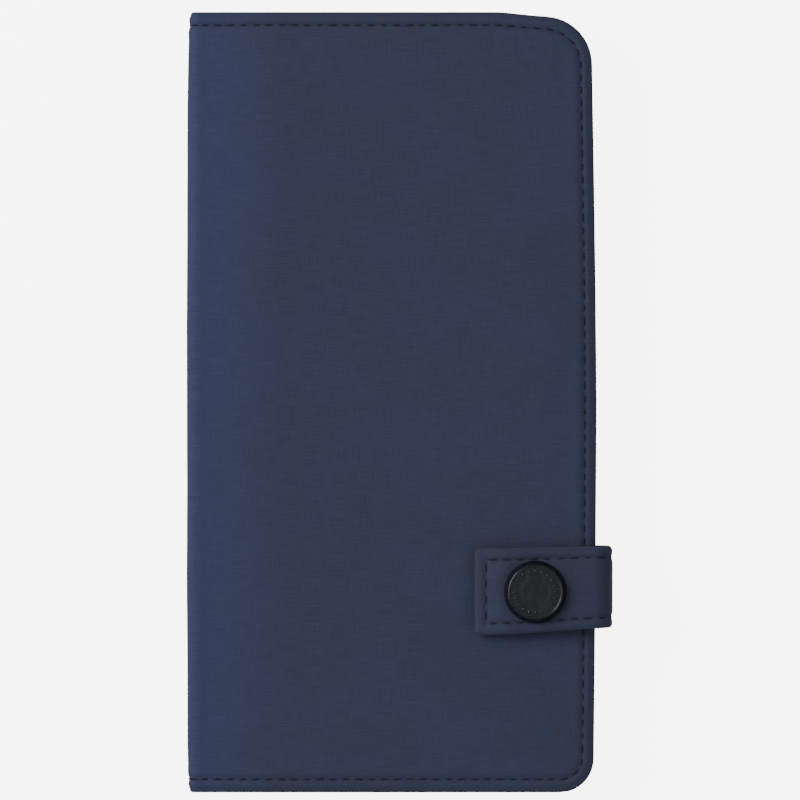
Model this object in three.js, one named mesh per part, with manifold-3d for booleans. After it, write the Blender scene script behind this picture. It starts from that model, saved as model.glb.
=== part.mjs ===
// Travel wallet for a passport and boarding passes: two padded fabric covers joined by a soft
// spine, closed by a strap that wraps round the fore-edge and snaps onto the front cover.
//
// Frame, in millimetres: the closed wallet lies on its back cover, +Z up, +Y towards its top
// edge, spine at -X and fore-edge at +X. The origin is under the middle of the closed wallet.

import * as THREE from 'three';
import Module from 'manifold-3d';

// ---- Driving dimensions -------------------------------------------------------------------

const COVER_WIDTH = 110.5; // outer face of the spine to the fore-edge
const COVER_HEIGHT = 212;
const CLOSED_THICKNESS = 15; // outer face to outer face of the two covers
const TOP_CORNER_RADIUS = 11.5;
const BOTTOM_CORNER_RADIUS = 9;

const OUTER_FABRIC = 0.8; // padded nylon
const BOARD = 1.0;
const SPINE_BOARD = 0.8;
const LINING = 0.4;
const POCKET_FABRIC = 0.5;
const COVER_STACK = OUTER_FABRIC + BOARD + LINING;
const BOARD_INSET = 4; // boards stop short of the seams
const LINING_INSET = 0.5;

const STRAP_WIDTH = 23.5;
const STRAP_Y = -50.6;
const STRAP_OVERHANG = 5; // how far the strap stands out past the fore-edge
const STRAP_THICKNESS = 2.0;
const STRAP_END_X = 20.3; // free end of the tab
const STRAP_CORNER = 1.5;
const STRAP_ANCHOR = 9; // length sewn between the back cover's panels

const SNAP_X = 36.7;
const SNAP_Y = -51.4;
const CAP_RADIUS = 8.45;
const RIVET_RADIUS = 1.6;
const RIVET_HOLE = 1.9;

const GAP = 0.3; // running clearance between pieces that move apart
const CURVE_STEPS = 8; // straight pieces in each rounded corner
const ROUND_STEPS = 40; // sides of a turned piece

// ---- Derived places -----------------------------------------------------------------------

const OVERALL_WIDTH = COVER_WIDTH + STRAP_OVERHANG;
const SPINE_X = -OVERALL_WIDTH / 2; // outer face of the spine
const FORE_X = SPINE_X + COVER_WIDTH; // fore-edge of both covers
const LOOP_X = OVERALL_WIDTH / 2; // outer face of the strap's loop
const TOP_Y = COVER_HEIGHT / 2;

const FOLD_OFFSET = COVER_STACK / 2; // a fold runs through the middle of the cover's thickness
const SPINE_FOLD_X = SPINE_X + FOLD_OFFSET;
const BACK_FOLD_Z = FOLD_OFFSET;
const FRONT_FOLD_Z = CLOSED_THICKNESS - FOLD_OFFSET;
const FOLD_CLEARANCE = 0.6; // bare fabric between a fold line and the stiff pieces beside it
const INNER_EDGE_X = SPINE_X + COVER_STACK + GAP; // spine side of the linings

// ---- Materials ----------------------------------------------------------------------------

function material(color, roughness, metalness = 0) {
  return new THREE.MeshStandardMaterial({ color, roughness, metalness });
}

const outerFabric = () => material(0x333b50, 0.85);
const liningFabric = () => material(0x262b3a, 0.9);
const boardStock = () => material(0x6b6357, 0.95);
const blackMetal = () => material(0x1d1f24, 0.35, 0.9);
const springSteel = () => material(0x9a9da3, 0.3, 1);
const zipTape = () => material(0x232838, 0.9);
const zipNylon = () => material(0x1b1f2c, 0.5);

// ---- Shape helpers ------------------------------------------------------------------------

const wallet = new THREE.Group();

// Puts a geometry into the wallet as a named sub-part.
function addPart(name, geometry, partMaterial, x = 0, y = 0, z = 0) {
  const mesh = new THREE.Mesh(geometry, partMaterial);
  mesh.name = name;
  mesh.position.set(x, y, z);
  wallet.add(mesh);
  return mesh;
}

// Carries an outline round a corner, anticlockwise, by an arc about the point (x, y).
function roundCorner(shape, x, y, radius, startAngle) {
  shape.lineTo(x + radius * Math.cos(startAngle), y + radius * Math.sin(startAngle));
  if (radius > 0) shape.absarc(x, y, radius, startAngle, startAngle + Math.PI / 2);
}

// Outline of a rectangle with its own radius at each corner.
function roundedRectangle({ left, right, bottom, top, radii = {} }) {
  const { topRight = 0, bottomRight = 0, topLeft = 0, bottomLeft = 0 } = radii;
  const shape = new THREE.Shape();
  shape.moveTo(left + bottomLeft, bottom);
  roundCorner(shape, right - bottomRight, bottom + bottomRight, bottomRight, -Math.PI / 2);
  roundCorner(shape, right - topRight, top - topRight, topRight, 0);
  roundCorner(shape, left + topLeft, top - topLeft, topLeft, Math.PI / 2);
  if (bottomLeft > 0) roundCorner(shape, left + bottomLeft, bottom + bottomLeft, bottomLeft, Math.PI);
  return shape;
}

function roundHole(x, y, radius) {
  return new THREE.Path().absarc(x, y, radius, 0, 2 * Math.PI);
}

function extrude(shape, depth, curveSegments = CURVE_STEPS) {
  return new THREE.ExtrudeGeometry(shape, { depth, curveSegments, bevelEnabled: false });
}

// A flat sheet lying from height z up to z + thickness.
function addSheet(name, shape, z, thickness, partMaterial) {
  return addPart(name, extrude(shape, thickness), partMaterial, 0, 0, z);
}

// A plain box given by its limits on each axis.
function boxGeometry([x0, x1], [y0, y1], [z0, z1]) {
  const geometry = new THREE.BoxGeometry(x1 - x0, y1 - y0, z1 - z0);
  return geometry.translate((x0 + x1) / 2, (y0 + y1) / 2, (z0 + z1) / 2);
}

function addBox(name, xs, ys, zs, partMaterial) {
  return addPart(name, boxGeometry(xs, ys, zs), partMaterial);
}

// Extrudes a section drawn in the Y-Z plane along X, from x0 to x1.
function extrudeAlongX(points, x0, x1) {
  const geometry = extrude(new THREE.Shape(points.map(([y, z]) => new THREE.Vector2(y, z))), x1 - x0);
  const axes = [new THREE.Vector3(0, 1, 0), new THREE.Vector3(0, 0, 1), new THREE.Vector3(1, 0, 0)];
  return geometry.applyMatrix4(new THREE.Matrix4().makeBasis(...axes)).translate(x0, 0, 0);
}

// Turns a closed profile of [radius, height] points about the vertical axis.
function turned(profile) {
  const points = profile.map(([radius, height]) => new THREE.Vector2(radius, height));
  return new THREE.LatheGeometry(points, ROUND_STEPS).rotateX(Math.PI / 2);
}

// ---- Covers: outer panel, board and lining -------------------------------------------------

function coverOutline(left, inset) {
  const radii = {
    topRight: TOP_CORNER_RADIUS - inset,
    bottomRight: BOTTOM_CORNER_RADIUS - inset,
  };
  const right = FORE_X - inset;
  return roundedRectangle({ left, right, bottom: -TOP_Y + inset, top: TOP_Y - inset, radii });
}

const anchorStart = FORE_X - STRAP_ANCHOR;

// The back board is notched where the strap is sewn in.
function backBoardOutline() {
  const inset = BOARD_INSET;
  const right = FORE_X - inset;
  const notch = anchorStart - GAP;
  const halfNotch = STRAP_WIDTH / 2 + GAP;
  const left = INNER_EDGE_X + inset;
  const topRadius = TOP_CORNER_RADIUS - inset;
  const bottomRadius = BOTTOM_CORNER_RADIUS - inset;
  const top = TOP_Y - inset;
  const shape = new THREE.Shape();
  shape.moveTo(left, -top);
  roundCorner(shape, right - bottomRadius, -top + bottomRadius, bottomRadius, -Math.PI / 2);
  shape.lineTo(right, STRAP_Y - halfNotch);
  shape.lineTo(notch, STRAP_Y - halfNotch);
  shape.lineTo(notch, STRAP_Y + halfNotch);
  shape.lineTo(right, STRAP_Y + halfNotch);
  roundCorner(shape, right - topRadius, top - topRadius, topRadius, 0);
  shape.lineTo(left, top);
  return shape;
}

const backLiningTop = COVER_STACK;
const frontLiningBottom = CLOSED_THICKNESS - COVER_STACK;

function addBackCover() {
  addSheet('back_outer_panel', coverOutline(SPINE_FOLD_X, 0), 0, OUTER_FABRIC, outerFabric());
  addSheet('back_stiffener', backBoardOutline(), OUTER_FABRIC, BOARD, boardStock());
  const liningZ = OUTER_FABRIC + BOARD;
  addSheet('back_lining', coverOutline(INNER_EDGE_X, LINING_INSET), liningZ, LINING, liningFabric());
}

function addFrontCover() {
  const panelZ = CLOSED_THICKNESS - OUTER_FABRIC;
  const panel = coverOutline(SPINE_FOLD_X, 0);
  panel.holes.push(roundHole(SNAP_X, SNAP_Y, RIVET_HOLE));
  addSheet('front_outer_panel', panel, panelZ, OUTER_FABRIC, outerFabric());

  const board = coverOutline(INNER_EDGE_X + BOARD_INSET, BOARD_INSET);
  board.holes.push(roundHole(SNAP_X, SNAP_Y, STUD_FLANGE_RADIUS + GAP));
  addSheet('front_stiffener', board, panelZ - BOARD, BOARD, boardStock());

  const lining = coverOutline(INNER_EDGE_X, LINING_INSET);
  addSheet('front_lining', lining, frontLiningBottom, LINING, liningFabric());
}

// The spine stands between the two folds: outer panel, board and lining side by side.
function addSpine() {
  const heights = [BACK_FOLD_Z + FOLD_CLEARANCE, FRONT_FOLD_Z - FOLD_CLEARANCE];
  const layers = [
    ['spine_outer_panel', OUTER_FABRIC, 0, outerFabric()],
    ['spine_stiffener', SPINE_BOARD, BOARD_INSET, boardStock()],
    ['spine_lining', LINING, LINING_INSET, liningFabric()],
  ];
  let x = SPINE_X;
  for (const [name, thickness, inset, layerMaterial] of layers) {
    const length = [-TOP_Y + inset, TOP_Y - inset];
    addBox(name, [x, x + thickness], length, heights, layerMaterial);
    x += thickness;
  }
}

// ---- Pockets -------------------------------------------------------------------------------

const POCKET_SLACK = 0.6; // empty height between a pocket's panel and what backs it
const SEAM_WIDTH = 2;
const HEM_WIDTH = 4;
const HEM_HEIGHT = 0.4; // how far a turned hem stands above its panel
const POCKET_FORE_X = FORE_X - 1.25;
const POCKET_END_Y = TOP_Y - 1.5;

// Full-height pocket behind the cards, open towards the spine, for boarding passes.
const DOCUMENT_OPEN_X = -42;
const documentPanelZ = backLiningTop + POCKET_SLACK;
const documentPanelTop = documentPanelZ + POCKET_FABRIC;

function addDocumentPocket() {
  const seamZ = [backLiningTop, documentPanelZ];
  const seamX = POCKET_FORE_X - SEAM_WIDTH;
  const seamY = POCKET_END_Y - SEAM_WIDTH;
  const panel = roundedRectangle({
    left: DOCUMENT_OPEN_X, right: POCKET_FORE_X, bottom: -POCKET_END_Y, top: POCKET_END_Y,
    radii: { topRight: TOP_CORNER_RADIUS, bottomRight: BOTTOM_CORNER_RADIUS },
  });
  addSheet('document_pocket_panel', panel, documentPanelZ, POCKET_FABRIC, liningFabric());
  const seamStart = -POCKET_END_Y + BOTTOM_CORNER_RADIUS;
  const seamEnd = POCKET_END_Y - TOP_CORNER_RADIUS;
  addBox('document_pocket_seam_fore', [seamX, POCKET_FORE_X], [seamStart, seamEnd], seamZ, liningFabric());
  const across = [DOCUMENT_OPEN_X, POCKET_FORE_X - TOP_CORNER_RADIUS];
  addBox('document_pocket_seam_top', across, [seamY, POCKET_END_Y], seamZ, liningFabric());
  addBox('document_pocket_seam_bottom', across, [-POCKET_END_Y, -seamY], seamZ, liningFabric());
}

// Stepped card slots, each with a turned hem along its open upper edge.
const SLOT_COUNT = 4;
const SLOT_TOP_Y = 84;
const SLOT_STEP_Y = 13;
const SLOT_BOTTOM_Y = -11;
const SLOT_SIDES = [-40.5, 48.5];

function addCardSlots() {
  for (let index = 0; index < SLOT_COUNT; index++) {
    const top = SLOT_TOP_Y - index * SLOT_STEP_Y;
    const z = documentPanelTop + index * POCKET_FABRIC;
    const face = z + POCKET_FABRIC;
    const section = [
      [SLOT_BOTTOM_Y, z], [top, z], [top, face + HEM_HEIGHT],
      [top - HEM_WIDTH, face + HEM_HEIGHT], [top - HEM_WIDTH, face], [SLOT_BOTTOM_Y, face],
    ];
    addPart(`card_slot_${index + 1}`, extrudeAlongX(section, ...SLOT_SIDES), liningFabric());
  }
}

// Passport pocket on the front cover, open upwards, with a smaller slip pocket over it.
const PASSPORT_TOP_Y = 22;
const SLIP_TOP_Y = -38;
const PASSPORT_SIDES = [-41, POCKET_FORE_X];
const passportPanelTop = frontLiningBottom - POCKET_SLACK;
const passportPanelZ = passportPanelTop - POCKET_FABRIC;

function addPassportPocket() {
  const [left, right] = PASSPORT_SIDES;
  const bottom = -POCKET_END_Y;
  const radii = { bottomRight: BOTTOM_CORNER_RADIUS };
  const panel = roundedRectangle({ left, right, bottom, top: PASSPORT_TOP_Y, radii });
  addSheet('passport_pocket_panel', panel, passportPanelZ, POCKET_FABRIC, liningFabric());
  const slip = roundedRectangle({ left, right, bottom, top: SLIP_TOP_Y, radii });
  const slipZ = passportPanelZ - POCKET_FABRIC;
  addSheet('slip_pocket_panel', slip, slipZ, POCKET_FABRIC, liningFabric());

  const seamZ = [passportPanelTop, frontLiningBottom];
  const sideY = [bottom + BOTTOM_CORNER_RADIUS, PASSPORT_TOP_Y];
  addBox('passport_pocket_seam_fore', [right - SEAM_WIDTH, right], sideY, seamZ, liningFabric());
  addBox('passport_pocket_seam_spine', [left, left + SEAM_WIDTH], sideY, seamZ, liningFabric());
  const bottomX = [left, right - BOTTOM_CORNER_RADIUS];
  addBox('passport_pocket_seam_bottom', bottomX, [bottom, bottom + SEAM_WIDTH], seamZ, liningFabric());
}

// ---- Zip pocket ----------------------------------------------------------------------------

const ZIP_POCKET_SIDES = SLOT_SIDES;
const ZIP_POCKET_Y = [-100, -18];
const ZIP_LINE_Y = -28; // middle of the zip
const ZIP_PANEL = 0.4;
const ZIP_SEAM = 3;
const ZIP_DEPTH = 1.7; // room between the pocket's two panels
const ZIP_MOUTH = 4.5; // half the width of tape that shows between the panels
const TAPE_THICKNESS = 0.4;
const TAPE_WIDTH = 9;
const TEETH_GAP = 1.4; // the rows stand parted, so that the slider's post can run between them
const TEETH_WIDTH = 1.6;
const TEETH_HEIGHT = 1;
const TOOTH_PITCH = 2;
const TOOTH_DEPTH = 0.6;
const STOP_LENGTH = 2;

const zipBackTop = documentPanelTop + ZIP_PANEL;
const zipFrontZ = zipBackTop + ZIP_DEPTH;
const teethZ = zipFrontZ;

function addZipPocketPanels() {
  const [left, right] = ZIP_POCKET_SIDES;
  const [bottom, top] = ZIP_POCKET_Y;
  const frontZ = [zipFrontZ, zipFrontZ + POCKET_FABRIC];
  const lowerEdge = ZIP_LINE_Y - ZIP_MOUTH;
  const upperEdge = ZIP_LINE_Y + ZIP_MOUTH;
  const backZ = [documentPanelTop, zipBackTop];
  addBox('zip_pocket_back_panel', [left, right], [bottom, top], backZ, liningFabric());
  addBox('zip_pocket_front_panel', [left, right], [bottom, lowerEdge], frontZ, liningFabric());
  addBox('zip_pocket_header', [left, right], [upperEdge, top], frontZ, liningFabric());

  const seamZ = [zipBackTop, zipFrontZ];
  const tapeBottom = ZIP_LINE_Y - TEETH_GAP / 2 - TAPE_WIDTH;
  const sideY = [bottom + ZIP_SEAM, tapeBottom];
  addBox('zip_pocket_seam_spine', [left, left + ZIP_SEAM], sideY, seamZ, liningFabric());
  addBox('zip_pocket_seam_fore', [right - ZIP_SEAM, right], sideY, seamZ, liningFabric());
  addBox('zip_pocket_seam_bottom', [left, right], [bottom, bottom + ZIP_SEAM], seamZ, liningFabric());
}

// One row of zip teeth as a comb whose teeth point across the gap; side is +1 above, -1 below.
function teethRow(side, start, end) {
  const outer = TEETH_GAP / 2 + TEETH_WIDTH;
  const root = TEETH_GAP / 2 + TOOTH_DEPTH;
  const tip = TEETH_GAP / 2;
  const points = [[start, outer]];
  const count = Math.floor((end - start) / TOOTH_PITCH);
  for (let tooth = 0; tooth < count; tooth++) {
    const x = start + tooth * TOOTH_PITCH;
    points.push([x, tip], [x + TOOTH_PITCH / 2, tip]);
    points.push([x + TOOTH_PITCH / 2, root], [x + TOOTH_PITCH, root]);
  }
  points.push([start + count * TOOTH_PITCH, outer]);
  const outline = points.map(([x, y]) => new THREE.Vector2(x, ZIP_LINE_Y + side * y));
  return new THREE.Shape(outline);
}

function addZip() {
  const [left, right] = ZIP_POCKET_SIDES;
  const teethEnds = [left + STOP_LENGTH + GAP, right - STOP_LENGTH - GAP];
  const tapeZ = [zipFrontZ - TAPE_THICKNESS, zipFrontZ];
  for (const [label, side] of [['lower', -1], ['upper', 1]]) {
    const edges = [TEETH_GAP / 2, TEETH_GAP / 2 + TAPE_WIDTH].map((y) => ZIP_LINE_Y + side * y);
    edges.sort((a, b) => a - b);
    addBox(`zip_tape_${label}`, [left, right], edges, tapeZ, zipTape());
    addSheet(`zip_teeth_${label}`, teethRow(side, ...teethEnds), teethZ, TEETH_HEIGHT, zipNylon());
  }
  const reach = TEETH_GAP / 2 + TEETH_WIDTH;
  const stopY = [ZIP_LINE_Y - reach, ZIP_LINE_Y + reach];
  const stopZ = [teethZ, teethZ + TEETH_HEIGHT];
  addBox('zip_start_stop', [left, left + STOP_LENGTH], stopY, stopZ, blackMetal());
  addBox('zip_end_stop', [right - STOP_LENGTH, right], stopY, stopZ, blackMetal());
}

// ---- Zip slider and pull -------------------------------------------------------------------

const SLIDER_LENGTH = 9;
const SLIDER_WIDTH = 7;
const SLIDER_START_X = 36; // spine end of the slider with the zip closed
const SLIDER_PLATE = 0.4;
const LUG_THICKNESS = 0.8;
const LUG_SPACING = 3; // clear width between the lugs that carry the pull
const LUG_HEIGHT = 1.3;
const LUG_LENGTH = 2;
const POST_WIDTH = 0.8;
const SLIDER_CLEARANCE = 0.2; // between the upper plate and the teeth
const PIVOT_RADIUS = 0.45;
const PIVOT_SETBACK = 3; // from the slider's spine end
const PIVOT_RISE = 0.75; // over the slider's upper plate
const PIVOT_STEPS = 12;
const PULL_LENGTH = 15;
const PULL_WIDTH = 5;
const PULL_THICKNESS = 0.6;
const NECK_LENGTH = 2; // from the bar to the wider tab
const NECK_OVERLAP = 0.1;

const sliderTopZ = teethZ + TEETH_HEIGHT + SLIDER_CLEARANCE;
const lugBaseZ = sliderTopZ + SLIDER_PLATE;
const pivotX = SLIDER_START_X + PIVOT_SETBACK;
const pivotZ = lugBaseZ + PIVOT_RISE;

const wasm = await Module();
wasm.setup();

function solidFrom(geometry) {
  const bare = geometry.index ? geometry.toNonIndexed() : geometry;
  const positions = bare.attributes.position.array;
  const corners = new Map();
  const vertProperties = [];
  const triVerts = [];
  for (let i = 0; i < positions.length; i += 3) {
    const corner = [positions[i], positions[i + 1], positions[i + 2]];
    const key = corner.map((value) => value.toFixed(4)).join(' ');
    if (!corners.has(key)) {
      corners.set(key, corners.size);
      vertProperties.push(...corner);
    }
    triVerts.push(corners.get(key));
  }
  return new wasm.Manifold(new wasm.Mesh({
    numProp: 3,
    vertProperties: new Float32Array(vertProperties),
    triVerts: new Uint32Array(triVerts),
  }));
}

function joined(geometries) {
  const mesh = geometries.map(solidFrom).reduce((whole, piece) => whole.add(piece)).getMesh();
  const geometry = new THREE.BufferGeometry();
  geometry.setAttribute('position', new THREE.BufferAttribute(mesh.vertProperties, 3));
  geometry.setIndex(new THREE.BufferAttribute(mesh.triVerts, 1));
  geometry.computeVertexNormals();
  return geometry;
}

// Upper plate over the teeth, lower plate under the tapes, and a post through the gap.
function addSlider() {
  const along = [SLIDER_START_X, SLIDER_START_X + SLIDER_LENGTH];
  const across = [ZIP_LINE_Y - SLIDER_WIDTH / 2, ZIP_LINE_Y + SLIDER_WIDTH / 2];
  const lowerZ = [zipBackTop + GAP, zipBackTop + GAP + SLIDER_PLATE];
  const post = [ZIP_LINE_Y - POST_WIDTH / 2, ZIP_LINE_Y + POST_WIDTH / 2];
  const lugX = [pivotX - LUG_LENGTH / 2, pivotX + LUG_LENGTH / 2];
  const lugZ = [sliderTopZ, lugBaseZ + LUG_HEIGHT];
  const pieces = [
    boxGeometry(along, across, [sliderTopZ, lugBaseZ]),
    boxGeometry(along, across, lowerZ),
    boxGeometry(along, post, [lowerZ[0], lugBaseZ]),
  ];
  for (const side of [-1, 1]) {
    const inner = ZIP_LINE_Y + (side * LUG_SPACING) / 2;
    const lugY = [inner, inner + side * LUG_THICKNESS].sort((a, b) => a - b);
    pieces.push(boxGeometry(lugX, lugY, lugZ));
  }
  addPart('zip_slider_body', joined(pieces), blackMetal());
}

// The pull lies flat towards the spine and swings up about a bar held between the lugs.
function addPull() {
  const halfBar = LUG_SPACING / 2 - GAP;
  const bar = new THREE.CylinderGeometry(PIVOT_RADIUS, PIVOT_RADIUS, 2 * halfBar, PIVOT_STEPS);
  bar.translate(pivotX, ZIP_LINE_Y, pivotZ);
  const flat = [pivotZ - PULL_THICKNESS / 2, pivotZ + PULL_THICKNESS / 2];
  const neckEnd = pivotX - NECK_LENGTH;
  const neck = boxGeometry([neckEnd, pivotX], [ZIP_LINE_Y - halfBar, ZIP_LINE_Y + halfBar], flat);
  const tabShape = roundedRectangle({
    left: pivotX - PULL_LENGTH, right: neckEnd + NECK_OVERLAP,
    bottom: ZIP_LINE_Y - PULL_WIDTH / 2, top: ZIP_LINE_Y + PULL_WIDTH / 2,
    radii: { topLeft: 2, bottomLeft: 2, topRight: 1, bottomRight: 1 },
  });
  const tab = extrude(tabShape, PULL_THICKNESS).translate(0, 0, flat[0]);
  addPart('zip_pull_tab', joined([bar, neck, tab]), blackMetal());
}

// ---- Snap fastener -------------------------------------------------------------------------

const STUD_FLANGE_RADIUS = 4.5;
const STUD_FLANGE = 0.4;
const STUD_NECK_RADIUS = 2.0;
const STUD_BALL_RADIUS = 2.25;
const STUD_HEIGHT = 1.9;
const SOCKET_RADIUS = 4.8;
const SOCKET_HEIGHT = 2.0;
const SOCKET_MOUTH = 2.6;
const SPRING_GROOVE = 3.1;
const SPRING_WIRE = 0.22;
const SPRING_CLEARANCE = 0.08;
const SPRING_Z = 0.85; // above the socket's mouth
const SNAP_CLEARANCE = 0.1; // between the closed socket and the stud's flange
const CAP_HEIGHT = 2.5;
const CAP_RIM_HEIGHT = 2.2;
const TRACK_DEPTH = 0.7;
const DOME_RADIUS = 4.2;
const DOME_FALL = 0.35;
const DOME_STEPS = 4;

const socketZ = CLOSED_THICKNESS + STUD_FLANGE + SNAP_CLEARANCE;
const tabZ = socketZ + SOCKET_HEIGHT; // underside of the strap's tab

function addStud() {
  const bore = RIVET_HOLE;
  const profile = [
    [bore, 0], [STUD_FLANGE_RADIUS, 0], [STUD_FLANGE_RADIUS, STUD_FLANGE],
    [STUD_NECK_RADIUS + 0.3, STUD_FLANGE], [STUD_NECK_RADIUS + 0.1, 0.9],
    [STUD_BALL_RADIUS, 1.35], [STUD_NECK_RADIUS, STUD_HEIGHT - 0.15], [1.4, STUD_HEIGHT],
    [0, STUD_HEIGHT], [0, STUD_HEIGHT - 0.4], [bore - 0.4, STUD_HEIGHT - 0.4],
    [bore - 0.15, 1.3], [bore, 0.9], [bore, 0],
  ];
  addPart('snap_stud', turned(profile), blackMetal(), SNAP_X, SNAP_Y, CLOSED_THICKNESS);

  // The stud's rivet: a head under the outer panel and a shank up into the stud.
  const headHeight = 0.5;
  const shankTop = headHeight + OUTER_FABRIC + 0.8;
  const rivet = [
    [0, 0], [STUD_FLANGE_RADIUS, 0], [STUD_FLANGE_RADIUS, headHeight],
    [RIVET_RADIUS, headHeight], [RIVET_RADIUS, shankTop], [0, shankTop],
  ];
  const rivetZ = CLOSED_THICKNESS - OUTER_FABRIC - headHeight;
  addPart('snap_stud_rivet', turned(rivet), blackMetal(), SNAP_X, SNAP_Y, rivetZ);
}

function addSocket() {
  const web = 0.5;
  const roof = SOCKET_HEIGHT - web;
  const profile = [
    [SOCKET_MOUTH, 0], [SOCKET_RADIUS - 0.4, 0], [SOCKET_RADIUS, 0.4],
    [SOCKET_RADIUS, SOCKET_HEIGHT], [RIVET_HOLE, SOCKET_HEIGHT], [RIVET_HOLE, roof],
    [SOCKET_MOUTH, roof], [SOCKET_MOUTH, 1.2], [SPRING_GROOVE, 1.2], [SPRING_GROOVE, 0.5],
    [SOCKET_MOUTH, 0.5], [SOCKET_MOUTH, 0],
  ];
  addPart('snap_socket', turned(profile), blackMetal(), SNAP_X, SNAP_Y, socketZ);

  const ringRadius = SPRING_GROOVE - SPRING_WIRE - SPRING_CLEARANCE;
  const ring = new THREE.TorusGeometry(ringRadius, SPRING_WIRE, 6, 24);
  addPart('snap_spring_ring', ring, springSteel(), SNAP_X, SNAP_Y, socketZ + SPRING_Z);
}

// Cap: rolled rim, a plain recessed track, a low dome, and the rivet shank on its underside.
function addCap() {
  const trackFloor = CAP_HEIGHT - TRACK_DEPTH;
  const dome = Array.from({ length: DOME_STEPS + 1 }, (_, step) => {
    const share = 1 - step / DOME_STEPS;
    return [DOME_RADIUS * share, CAP_HEIGHT - DOME_FALL * share ** 2];
  });
  const shankEnd = -STRAP_THICKNESS - 0.45;
  const profile = [
    [0, shankEnd], [RIVET_RADIUS, shankEnd], [RIVET_RADIUS, 0],
    [CAP_RADIUS - 0.5, 0], [CAP_RADIUS, 0.5], [CAP_RADIUS, 1.3],
    [CAP_RADIUS - 0.25, 1.85], [CAP_RADIUS - 0.8, CAP_RIM_HEIGHT],
    [CAP_RADIUS - 1.4, CAP_RIM_HEIGHT], [CAP_RADIUS - 1.8, trackFloor],
    [DOME_RADIUS + 0.3, trackFloor], ...dome,
  ];
  addPart('snap_cap', turned(profile), blackMetal(), SNAP_X, SNAP_Y, tabZ + STRAP_THICKNESS);
}

// ---- Strap ---------------------------------------------------------------------------------

const TAB_BACKING = 0.6;
const TAB_BOARD = 0.6;
const TAB_BOARD_INSET = 2.4;
const tabHingeZ = tabZ + STRAP_THICKNESS / 2;
const strapYs = [STRAP_Y - STRAP_WIDTH / 2, STRAP_Y + STRAP_WIDTH / 2];

// The strap's root lies sewn between the back cover's panels and reaches out to the loop.
function addStrapAnchor() {
  const reach = LOOP_X - STRAP_THICKNESS - GAP;
  const anchorZ = [OUTER_FABRIC, OUTER_FABRIC + BOARD];
  addBox('strap_anchor', [anchorStart, reach], strapYs, anchorZ, outerFabric());
}

// The loop stands beside the fore-edge, from the back fold line up to the tab's fold line.
function addStrapLoop() {
  const loopZ = [FOLD_OFFSET + FOLD_CLEARANCE, tabZ - GAP];
  const outer = [LOOP_X - OUTER_FABRIC, LOOP_X];
  addBox('strap_loop_outer', outer, strapYs, loopZ, outerFabric());
  const backing = [LOOP_X - STRAP_THICKNESS, LOOP_X - OUTER_FABRIC];
  addBox('strap_loop_backing', backing, strapYs, loopZ, liningFabric());
}

function tabOutline(inset, rivetHole) {
  const corner = Math.max(STRAP_CORNER - inset, 0.4);
  const shape = roundedRectangle({
    left: STRAP_END_X + inset, right: LOOP_X - FOLD_OFFSET - FOLD_CLEARANCE,
    bottom: strapYs[0] + inset, top: strapYs[1] - inset,
    radii: { topLeft: corner, bottomLeft: corner },
  });
  shape.holes.push(roundHole(SNAP_X, SNAP_Y, rivetHole));
  return shape;
}

function addStrapTab() {
  const boardZ = tabZ + TAB_BACKING;
  const outerZ = boardZ + TAB_BOARD;
  addSheet('strap_tab_backing', tabOutline(0, RIVET_HOLE), tabZ, TAB_BACKING, liningFabric());
  addSheet('strap_tab_stiffener', tabOutline(TAB_BOARD_INSET, RIVET_HOLE), boardZ, TAB_BOARD, boardStock());
  addSheet('strap_tab_outer', tabOutline(0, RIVET_HOLE), outerZ, OUTER_FABRIC, outerFabric());
}

// ---- Assembly ------------------------------------------------------------------------------

addBackCover();
addSpine();
addFrontCover();
addDocumentPocket();
addCardSlots();
addPassportPocket();
addZipPocketPanels();
addZip();
addSlider();
addPull();
addStud();
addSocket();
addCap();
addStrapAnchor();
addStrapLoop();
addStrapTab();

export default wallet;
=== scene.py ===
import math

import bmesh
import bpy
import numpy as np
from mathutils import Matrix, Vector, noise


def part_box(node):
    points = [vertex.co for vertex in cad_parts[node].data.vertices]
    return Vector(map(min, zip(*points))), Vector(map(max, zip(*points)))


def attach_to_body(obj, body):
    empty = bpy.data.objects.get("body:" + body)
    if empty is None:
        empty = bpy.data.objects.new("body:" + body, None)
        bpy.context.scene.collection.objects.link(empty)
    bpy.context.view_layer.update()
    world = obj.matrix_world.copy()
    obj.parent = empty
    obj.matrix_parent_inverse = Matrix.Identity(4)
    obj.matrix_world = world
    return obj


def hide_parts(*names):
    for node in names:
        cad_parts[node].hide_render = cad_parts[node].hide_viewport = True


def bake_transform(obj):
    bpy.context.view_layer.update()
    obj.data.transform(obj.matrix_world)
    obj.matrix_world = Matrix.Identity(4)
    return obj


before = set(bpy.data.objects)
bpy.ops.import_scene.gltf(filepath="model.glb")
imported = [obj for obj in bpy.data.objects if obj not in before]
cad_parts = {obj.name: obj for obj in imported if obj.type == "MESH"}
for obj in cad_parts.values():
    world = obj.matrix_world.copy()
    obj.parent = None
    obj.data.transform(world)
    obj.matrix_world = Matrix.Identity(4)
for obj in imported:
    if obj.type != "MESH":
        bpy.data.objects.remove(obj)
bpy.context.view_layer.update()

# ---- Places and sizes, in metres, from the frame ----

MM = 0.001


def outline_of(node):
    """A CAD node's left, right, low and high sides."""
    low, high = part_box(node)
    return low[0], high[0], low[1], high[1]


def middle_of(node):
    """The middle of a CAD node's box."""
    return [(low + high) / 2 for low, high in zip(*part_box(node))]


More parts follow.
